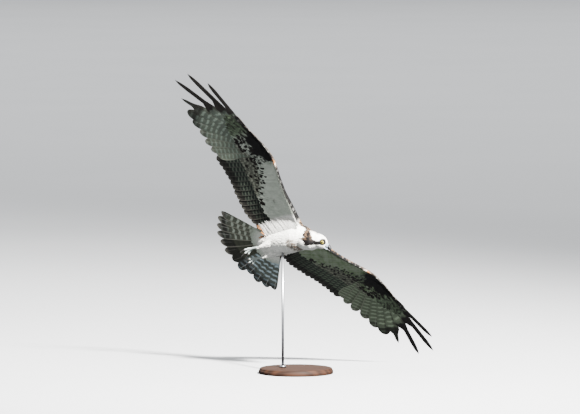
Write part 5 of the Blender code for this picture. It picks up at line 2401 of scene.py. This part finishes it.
def spline(rows: Array, count: int) -> Array:
    """Rows drawn through smoothly and sampled evenly, along the first axis.

    Args:
        rows: values to pass through.
        count: how many samples are wanted.

    Returns:
        The samples.
    """
    rows = np.asarray(rows, float)
    last = len(rows) - 1
    t = np.linspace(0.0, last, count)
    base = np.clip(np.floor(t).astype(int), 0, last - 1)
    f = (t - base).reshape((-1,) + (1,) * (rows.ndim - 1))
    a, b = rows[np.maximum(base - 1, 0)], rows[base]
    c, d = rows[base + 1], rows[np.minimum(base + 2, last)]
    square, cube = 2 * a - 5 * b + 4 * c - d, 3 * b - a - 3 * c + d
    return 0.5 * (2 * b + (c - a) * f + square * f ** 2 + cube * f ** 3)


@dataclass(frozen=True)
class RingBody:
    """A closed body through rings, with a tone for each of its points."""

    rings: Array
    tones: Array

    def build(self, name: str, pose: Matrix, material: bpy.types.Material) -> Piece:
        """Makes the piece.

        Args:
            name: the piece's name.
            pose: the move to the row frame.
            material: its finish.

        Returns:
            The piece.
        """
        points, faces = loft(self.rings)
        mesh = bpy.data.meshes.new(name)
        mesh.from_pydata(points.astype(float), [], faces)
        face_out(mesh)
        mesh.shade_smooth()
        store(mesh, "tone", self.tones.reshape(-1, 3))
        layer = mesh.uv_layers.new(name=BAKE_MAP)
        rows, sides = self.rings.shape[:2]
        flat = []
        for face in faces:
            row, side = np.divmod(np.array(face), sides)
            if len(face) > 4:
                turn = side / sides * 2 * math.pi
                middle = 0.25 if row[0] == 0 else 0.75
                flat += list(zip(middle + 0.1 * np.cos(turn), 0.88 + 0.1 * np.sin(turn)))
            else:
                side = np.where((side == 0) & (side.max() == sides - 1), sides, side)
                flat += list(zip(0.01 + 0.98 * side / sides, 0.01 + 0.74 * row / (rows - 1)))
        layer.data.foreach_set("uv", np.array(flat, np.float32).reshape(-1))
        mesh.transform(pose)
        return piece_of(name, mesh, material)


def joined(name: str, made: list[Piece]) -> Piece:
    """One piece from several, each with its own strip of the baking map.

    Args:
        name: the piece's name.
        made: the pieces, of which the first is kept.

    Returns:
        The piece.
    """
    for row, piece in enumerate(made):
        layer = piece.data.uv_layers[BAKE_MAP]
        flat = np.empty(len(layer.data) * 2, np.float32)
        layer.data.foreach_get("uv", flat)
        flat = flat.reshape(-1, 2)
        flat[:, 0] = (flat[:, 0] + row) / len(made)
        layer.data.foreach_set("uv", flat.reshape(-1))
    shape = bmesh.new()
    for piece in made:
        shape.from_mesh(piece.data)
    first = made[0]
    shape.to_mesh(first.data)
    shape.free()
    for piece in made[1:]:
        bpy.data.objects.remove(piece)
    first.name = name
    return first


@dataclass(frozen=True)
class Eyes:
    """Both eyes and the bare rims round them."""

    head: HeadShape
    pupil: float = 29.0
    iris: float = 47.0
    gaze: Row = (0.20, 0.975, 0.04)
    sides: int = 64

    def build(self, pose: Matrix) -> list[Detail]:
        """Makes the eyes and rims.

        Args:
            pose: the move to the row frame.

        Returns:
            Each piece with its slot and the node that it stands for.
        """
        wet = PaintedFinish("wet_eye", 0.06, 300.0, 0.00002, 1.0).material()
        bare = PaintedFinish("eye_rim", 0.45, 1500.0).material()
        move = pose @ self.head.matrix()
        made = []
        for side in Side:
            name = side.name.lower()
            ball = self.ball(side).build("eye_ball_" + name, move, wet)
            rim = self.rim(side).build("eye_rim_" + name, move, bare)
            made += [(ball, "eye", "eye_" + name), (rim, "bill_horn", "head")]
        return made

    def frame(self, side: Side) -> tuple[Array, Array, Array, Array]:
        """Centre, gaze and the two directions across an eye.

        Args:
            side: side of the bird.

        Returns:
            The centre and three directions of length one.
        """
        centre, gaze = mirrored(self.head.eye, side), unit(mirrored(self.gaze, side))
        ahead = unit(np.cross((0.0, 0.0, 1.0), gaze))
        return centre, gaze, ahead, np.cross(gaze, ahead)

    def ball(self, side: Side) -> RingBody:
        """One eyeball, with pupil, iris and dark rim.

        Args:
            side: side of the bird.

        Returns:
            The eyeball.
        """
        centre, gaze, ahead, rise = self.frame(side)
        pupil, iris = self.pupil, self.iris
        angles = np.array((1.0, 7, 14, 21, pupil - 1.0, pupil + 1.0, 33, 36, 39, 42,
                           iris - 1.5, iris + 1.5, 60, 75, 95, 120, 150, 178))
        turn = circle(self.sides)
        tilt = np.radians(angles)[:, None]
        flat = np.cos(turn)[None, :, None] * ahead + np.sin(turn)[None, :, None] * rise
        bulge = 1 + 0.05 * np.exp(-(angles / 34.0) ** 4)[:, None]
        out = (np.cos(tilt) * bulge)[..., None] * gaze + (np.sin(tilt) * bulge)[..., None] * flat
        rings = centre + self.head.eye_radius * out
        ray = 0.5 + 0.5 * np.sin(turn * 23 + 1.5 * np.sin(turn * 7))
        yellow = mix(tone(176, 168, 58), tone(138, 126, 42), np.clip(ray * 0.7, 0, 1))
        tones = np.empty((len(angles), self.sides, 3))
        for row, angle in enumerate(angles):
            if angle < pupil:
                tones[row] = tone(8, 8, 8)
            elif angle < iris:
                share = (angle - pupil) / (iris - pupil)
                tones[row] = mix(yellow, tone(150, 108, 24), np.full(self.sides, 0.8 * share ** 3))
            else:
                tones[row] = tone(30, 24, 20)
        return RingBody(rings, tones)

    def rim(self, side: Side) -> RingBody:
        """The dark bare skin round one eye, a ring whose ends meet.

        Args:
            side: side of the bird.

        Returns:
            The ring.
        """
        centre, gaze, ahead, rise = self.frame(side)
        turn = np.linspace(0.0, CIRCLE, 49)[:, None, None]
        section = circle(10)[None, :, None]
        radius = self.head.lid_radius + 0.0004
        out = np.cos(turn) * ahead + 0.90 * np.sin(turn) * rise
        middle = centre + gaze * 0.0037 + radius * out
        thick = 0.00145 + 0.00035 * np.sin(turn)
        rings = middle + thick * (np.cos(section) * out + np.sin(section) * gaze)
        return RingBody(rings, np.tile(tone(18, 16, 16), (*rings.shape[:2], 1)))


@dataclass(frozen=True)
class Bill:
    """The hooked bill with its pale cere and nostrils."""

    head: HeadShape
    upper: tuple[Row, ...] = (
        (0.0270, 0.0090, 0.0096, -0.0080, 0.0), (0.0293, 0.0085, 0.0092, -0.0080, 0.0),
        (0.0370, 0.0078, 0.0088, -0.0081, 0.0), (0.0440, 0.0064, 0.0062, -0.0083, 8.0),
        (0.0500, 0.0047, 0.0012, -0.0094, 30.0), (0.0535, 0.0032, -0.0050, -0.0120, 52.0),
        (0.0545, 0.0018, -0.0115, -0.0150, 76.0), (0.0537, 0.0006, -0.0165, -0.0170, 88.0),
    )
    lower: tuple[Row, ...] = (
        (0.0265, 0.0074, -0.0088, -0.0152), (0.0293, 0.0072, -0.0090, -0.0150),
        (0.0370, 0.0064, -0.0091, -0.0150), (0.0430, 0.0048, -0.0095, -0.0143),
        (0.0480, 0.0026, -0.0108, -0.0134),
    )
    nostril: Row = (0.0385, 0.0, 0.0025)

    def build(self, pose: Matrix) -> list[Detail]:
        """Makes both halves of the bill.

        Args:
            pose: the move to the row frame.

        Returns:
            Each piece with its slot and the node that it stands for.
        """
        horn = PaintedFinish("bill", 0.50, 900.0, 0.00008, 0.0, 0.25).material()
        move = pose @ self.head.matrix()
        top = self.tinted(self.arched()).build("bill_top", move, horn)
        jaw = self.tinted(self.jaw()).build("bill_jaw", move, horn)
        return [(top, "bill_horn", "bill_upper"), (jaw, "bill_horn", "bill_lower")]

    def arched(self) -> Array:
        """Rings of the upper half, with a ridge, a cutting edge and the nostrils' hollows.

        Returns:
            The rings, from the cere to the hook.
        """
        rows = spline(np.array(self.upper), 46)
        turn = circle(40)
        rings = []
        for x, half, top, bottom, lean in rows:
            tilt = math.radians(lean)
            middle, reach = (top + bottom) / 2, (top - bottom) / 2
            if lean > 60:
                reach = max(reach, 0.0018 * (1.6 - lean / 140))
            up = reach * np.sin(turn)
            pinch = 1 - 0.20 * np.clip(np.sin(turn), 0, 1) ** 2
            wide = half * np.cos(turn) * pinch
            ring = x + up * math.sin(tilt), wide, middle + up * math.cos(tilt)
            rings.append(np.stack(ring, -1))
        rings = np.array(rings)
        away = rings - np.array(self.nostril)
        hole = np.exp(-(away[..., 0] / 0.0024) ** 2 - (away[..., 2] / 0.0011) ** 2)
        rings[..., 1] *= 1 - 0.28 * hole
        return rings

    def jaw(self) -> Array:
        """Rings of the lower half."""
        rows = spline(np.array(self.lower), 30)
        return oval_rings(tuple(map(tuple, rows)), 32, 0.0)

    def tinted(self, rings: Array) -> RingBody:
        """The rings with a pale cere, dark horn and nostrils painted black, as painted shade in
        their hollows.

        Args:
            rings: rings of one half of the bill.

        Returns:
            The half with its tones.
        """
        x, y, z = rings[..., 0], rings[..., 1], rings[..., 2]
        share = ramp(x + 0.25 * z, 0.0375, 0.0415)
        tones = mix(tone(128, 140, 150), tone(14, 14, 16), share)
        # Painted shade: the nostrils' hollows are painted black.
        far_x, far_z = (x - self.nostril[0]) / 0.0019, (z - self.nostril[2]) / 0.0008
        hole = np.exp(-far_x ** 2 - far_z ** 2) * (np.abs(y) > 0.004)
        return RingBody(rings, mix(tones, np.zeros_like(tones), np.clip(hole * 1.4, 0, 1)))


@dataclass(frozen=True)
class Foot:
    """A foot with four scaly toes and curved claws."""

    side: Side
    body: BodyShape
    toe_bases: tuple[Row, ...] = ((-0.191, -0.033, -0.043), (-0.201, 0.013, -0.050))
    toes: tuple[Row, ...] = (
        (-0.45, -0.25, 0.033), (-0.05, -0.42, 0.038), (0.38, -0.30, 0.033), (0.05, 0.45, 0.024),
    )
    tarsus: float = 0.0048
    toe: float = 0.0037
    claw: float = 0.022
    claw_half: float = 0.0030
    scute: float = 0.0026

    def build(self, pose: Matrix) -> list[Detail]:
        """Makes the foot and its claws.

        Args:
            pose: the move to the row frame.

        Returns:
            Each piece with its slot and the node that it stands for.
        """
        scales = PaintedFinish("foot_scales", 0.5, 1100.0, 0.0003).material()
        horn = PaintedFinish("claws", 0.25, 500.0, 0.00005, 0.4).material()
        name = self.side.name.lower()
        row = 0 if self.side is Side.RIGHT else 1
        ankle, base = np.array(self.body.ankles[row]), np.array(self.toe_bases[row])
        path = self.body.leg_path(self.side, 9)
        start = ankle - unit(path[-1] - path[-2]) * 0.004
        line = spline(np.array((start, (start + base) / 2, base)), 26)
        parts = [self.scaly(line, self.tarsus, self.tarsus).build("shank", pose, scales)]
        made = []
        for index, (out, drop, length) in enumerate(self.toes):
            heading = unit(np.array((-1.0, self.side.value * out, drop * 0.6)))
            knuckle = base + heading * length * 0.5
            bend = unit(heading + (0.0, 0.0, -0.35))
            end = knuckle + bend * length * 0.5
            line = spline(np.array((base - heading * 0.002, knuckle, end)), 34)
            toe = self.scaly(line, self.toe * 1.05, self.toe * 0.85)
            parts.append(toe.build("toe", pose, scales))
            way = unit(end - knuckle)
            hook = end + way * self.claw * 0.55
            point = hook + unit(way * 0.35 + (0.0, 0.0, -1.0)) * self.claw * 0.5
            curve = bent_path(end - way * 0.0006, hook, point, 22)
            t = np.linspace(0.0, 1.0, 22)
            radii = self.claw_half * (1 - t) ** 0.8 + 0.0002
            rings = tube_rings(curve, radii, 16)
            shade = mix(tone(64, 60, 58), tone(16, 15, 15), ramp(t, 0.0, 0.3))
            claw = RingBody(rings, np.tile(shade[:, None], (1, 16, 1)))
            number = "%s_%d" % (name, index + 1)
            piece = claw.build("talon_" + number, pose, horn)
            made.append((piece, "claw_horn", "claw_" + number))
        made.append((joined("toes_" + name, parts), "foot_skin", "foot_" + name))
        return made

    def scaly(self, path: Array, first: float, last: float) -> RingBody:
        """A toe with raised scutes along its top and small scales below.

        Args:
            path: points of the toe's middle line.
            first: radius at the root.
            last: radius at the end.

        Returns:
            The toe.
        """
        t = np.linspace(0.0, 1.0, len(path))
        length = float(np.linalg.norm(path[-1] - path[0]))
        scute = 0.5 + 0.5 * np.cos(t * length / self.scute * 2 * math.pi)
        knob = 1 + 0.10 * np.cos(t * math.pi * 4)
        close = np.sqrt(np.clip(1 - np.clip((t - 0.93) / 0.07, 0, 1) ** 2 * 0.8, 0.05, 1))
        radii = (first + (last - first) * t) * (0.93 + 0.05 * scute) * knob ** 0.5 * close * 0.98
        rings = tube_rings(path, radii, 18)
        shade = mix(tone(108, 118, 114), tone(172, 182, 178), 0.35 + 0.65 * scute)
        return RingBody(rings, np.tile(shade[:, None], (1, 18, 1)))


@dataclass(frozen=True)
class Stand:
    """Turned wooden base, steel rod and collar."""

    radius: float = 0.145
    thick: float = 0.022
    rod: float = 0.005
    place: Row = (-0.051, 0.010)

    def build(self, top: float) -> list[Detail]:
        """Makes the stand.

        Args:
            top: how high the rod reaches.

        Returns:
            Each piece with its slot and the node that it stands for.
        """
        r, h = self.radius, self.thick
        profile = ((r - 0.004, 0.0), (r - 0.0012, 0.0006), (r, 0.0024), (r, h * 0.52),
                   (r - 0.0007, h * 0.60), (r - 0.0030, h * 0.66), (r - 0.0034, h * 0.74),
                   (r - 0.0040, h * 0.86), (r - 0.0058, h * 0.96), (r - 0.0085, h), (r - 0.030, h))
        low = h + 0.0003
        collar = ((0.013, low), (0.013, low + 0.0052), (0.0122, low + 0.0064),
                  (0.0108, low + 0.0070), (0.0056, low + 0.0070))
        rod = ((self.rod, 0.0105), (self.rod, 0.2), (self.rod, top))
        wood, steel = WoodFinish().material(), SteelFinish().material()
        parts = (("base", profile, (0.0, 0.0), 144, wood, "stand_wood"),
                 ("collar", collar, self.place, 48, steel, "stand_steel"),
                 ("rod", rod, self.place, 40, steel, "stand_steel"))
        made = []
        for name, line, centre, sides, finish, slot in parts:
            piece = self.turned(line, centre, sides).build(name, Matrix(), finish)
            made.append((piece, slot, "stand_" + name))
        return made

    def turned(self, profile: tuple[Row, ...], centre: Row, sides: int) -> RingBody:
        """A body turned round an upright line.

        Args:
            profile: radius and height of each ring.
            centre: x and y of the line.
            sides: how many points a ring has.

        Returns:
            The body.
        """
        turn = circle(sides)
        ring = np.stack((np.cos(turn), np.sin(turn), np.zeros(sides)), -1)
        rings = np.array([ring * radius + (*centre, z) for radius, z in profile])
        return RingBody(rings, np.ones_like(rings))


@dataclass(frozen=True)
class Studio:
    """Floor, lamps and camera."""

    elevation: float = 4.0
    distance: float = 20.0
    scale: float = 257.746
    width: int = 580
    shift: Row = (-0.0230, 0.1155)
    height: float = 0.532
    reach: float = 150.0
    key_place: Row = (3.65, -7.07, 6.93)
    key_size: float = 0.45
    key_power: float = 68000.0
    key_cone: float = 40.0
    key_colour: Row = (1.0, 0.98, 0.95)
    wash_place: Row = (0.0, 27.0, 13.0)
    wash_size: Row = (60.0, 48.0)
    wash_power: float = 15000.0
    sky: Row = (0.93, 0.95, 0.97, 1.0)
    sky_strength: float = 0.66

    def build(self) -> None:
        """Puts up the floor, the lamps and the camera."""
        self.floor()
        self.key()
        self.wash()
        self.surround()
        self.camera()

    def surround(self) -> None:
        """Even light from all round."""
        world = bpy.data.worlds.new("studio")
        world.use_nodes = True
        back = world.node_tree.nodes["Background"]
        back.inputs["Color"].default_value = self.sky
        back.inputs["Strength"].default_value = self.sky_strength
        bpy.context.scene.world = world

    def floor(self) -> None:
        """A floor that reaches past the picture."""
        corners = self.reach * np.array(((-1.0, -1, 0), (1, -1, 0), (1, 1, 0), (-1, 1, 0)))
        mesh = mesh_of("floor", corners, np.array(((0, 1, 2, 3),)), Matrix())
        piece_of("floor", mesh, FloorFinish().material())

    def wash(self) -> None:
        """A wide lamp that faces the floor behind the bird."""
        light = bpy.data.lights.new("backdrop", "AREA")
        light.shape = "RECTANGLE"
        light.size, light.size_y = self.wash_size
        light.energy = self.wash_power
        made = bpy.data.objects.new("backdrop", light)
        made.location = self.wash_place
        bpy.context.scene.collection.objects.link(made)

    def key(self) -> None:
        """A spot lamp that faces the bird, with a soft edge."""
        light = bpy.data.lights.new("key", "SPOT")
        light.shadow_soft_size = self.key_size
        light.energy = self.key_power
        light.spot_size = math.radians(self.key_cone)
        light.spot_blend = 1.0
        light.cycles.max_bounces = 0
        light.color = self.key_colour
        made = bpy.data.objects.new("key", light)
        aim = Vector((0.0, 0.0, self.height + 0.12)) - Vector(self.key_place)
        made.location = self.key_place
        made.rotation_euler = aim.to_track_quat("-Z", "Y").to_euler()
        bpy.context.scene.collection.objects.link(made)

    def camera(self) -> None:
        """The camera at the photo's angle."""
        lens = bpy.data.cameras.new("camera")
        lens.sensor_width = 36.0
        lens.lens = 36.0 * self.distance / (self.width / self.scale)
        lens.clip_end = 1000.0
        made = bpy.data.objects.new("camera", lens)
        tilt = math.radians(self.elevation)
        right = Vector((1.0, 0.0, 0.0))
        back = Vector((0.0, -math.cos(tilt), math.sin(tilt)))
        rise = back.cross(right)
        aim = Vector((0.0, 0.0, self.height)) + self.shift[0] * right + self.shift[1] * rise
        turn = Matrix((right, rise, back)).transposed().to_4x4()
        made.matrix_world = Matrix.Translation(aim + self.distance * back) @ turn
        bpy.context.scene.collection.objects.link(made)
        bpy.context.scene.camera = made


def settle(piece: Piece, slot: str, *nodes: str) -> None:
    """Ties a piece to the model's body, hides the solids that it stands for and logs its slot.

    Args:
        piece: the piece.
        slot: the name of its kind of surface.
        nodes: the solids that it stands for.
    """
    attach(piece, "root")
    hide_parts(*nodes)
    LOG.info("%s: %d faces, %s", piece.name, len(piece.data.polygons), slot)


def main() -> None:
    """Builds the picture of the model."""
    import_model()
    pose = Pose().matrix()
    head, body, tail = HeadShape(), BodyShape(), TailFan()
    wings = {Side.RIGHT: WingSheet(Side.RIGHT, 2.0, -0.019, -0.030),
             Side.LEFT: WingSheet(Side.LEFT, 4.6, -0.030, 0.0)}
    plumage, flow = Plumage(head, wings), Flow(body, head, wings)
    feathers = FeatherFinish("feathers").material()
    flesh = ("torso", "head", "neck", "leg_right", "leg_left", "tail", "wing_right_arm",
             "wing_right_hand", "wing_left_arm", "wing_left_hand")
    skin = Skin(body, head, wings, tail)
    skin.grow()
    for piece in Coat(skin, flow, plumage).build(pose, feathers):
        settle(piece, "body_plumage", *flesh)
    settle(skin.piece(flow, plumage, pose, SkinFinish("down").material()), "body_plumage", *flesh)
    for side, sheet in wings.items():
        name = side.name.lower()
        for piece in WingFeathers(sheet, plumage, rows=34).build(body, pose, feathers):
            settle(piece, "wing_feathers", "wing_%s_arm" % name, "wing_%s_hand" % name)
    for piece in TailFeathers(tail).build(pose, feathers):
        settle(piece, "tail_feathers", "tail")
    details = Eyes(head).build(pose) + Bill(head).build(pose)
    for side in Side:
        details += Foot(side, body).build(pose)
    details += Stand().build(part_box("stand_rod")[1].z)
    for piece, slot, node in details:
        settle(piece, slot, node)
    Studio().build()
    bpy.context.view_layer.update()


if __name__ == "__main__":
    logging.basicConfig(level=logging.INFO)
    main()
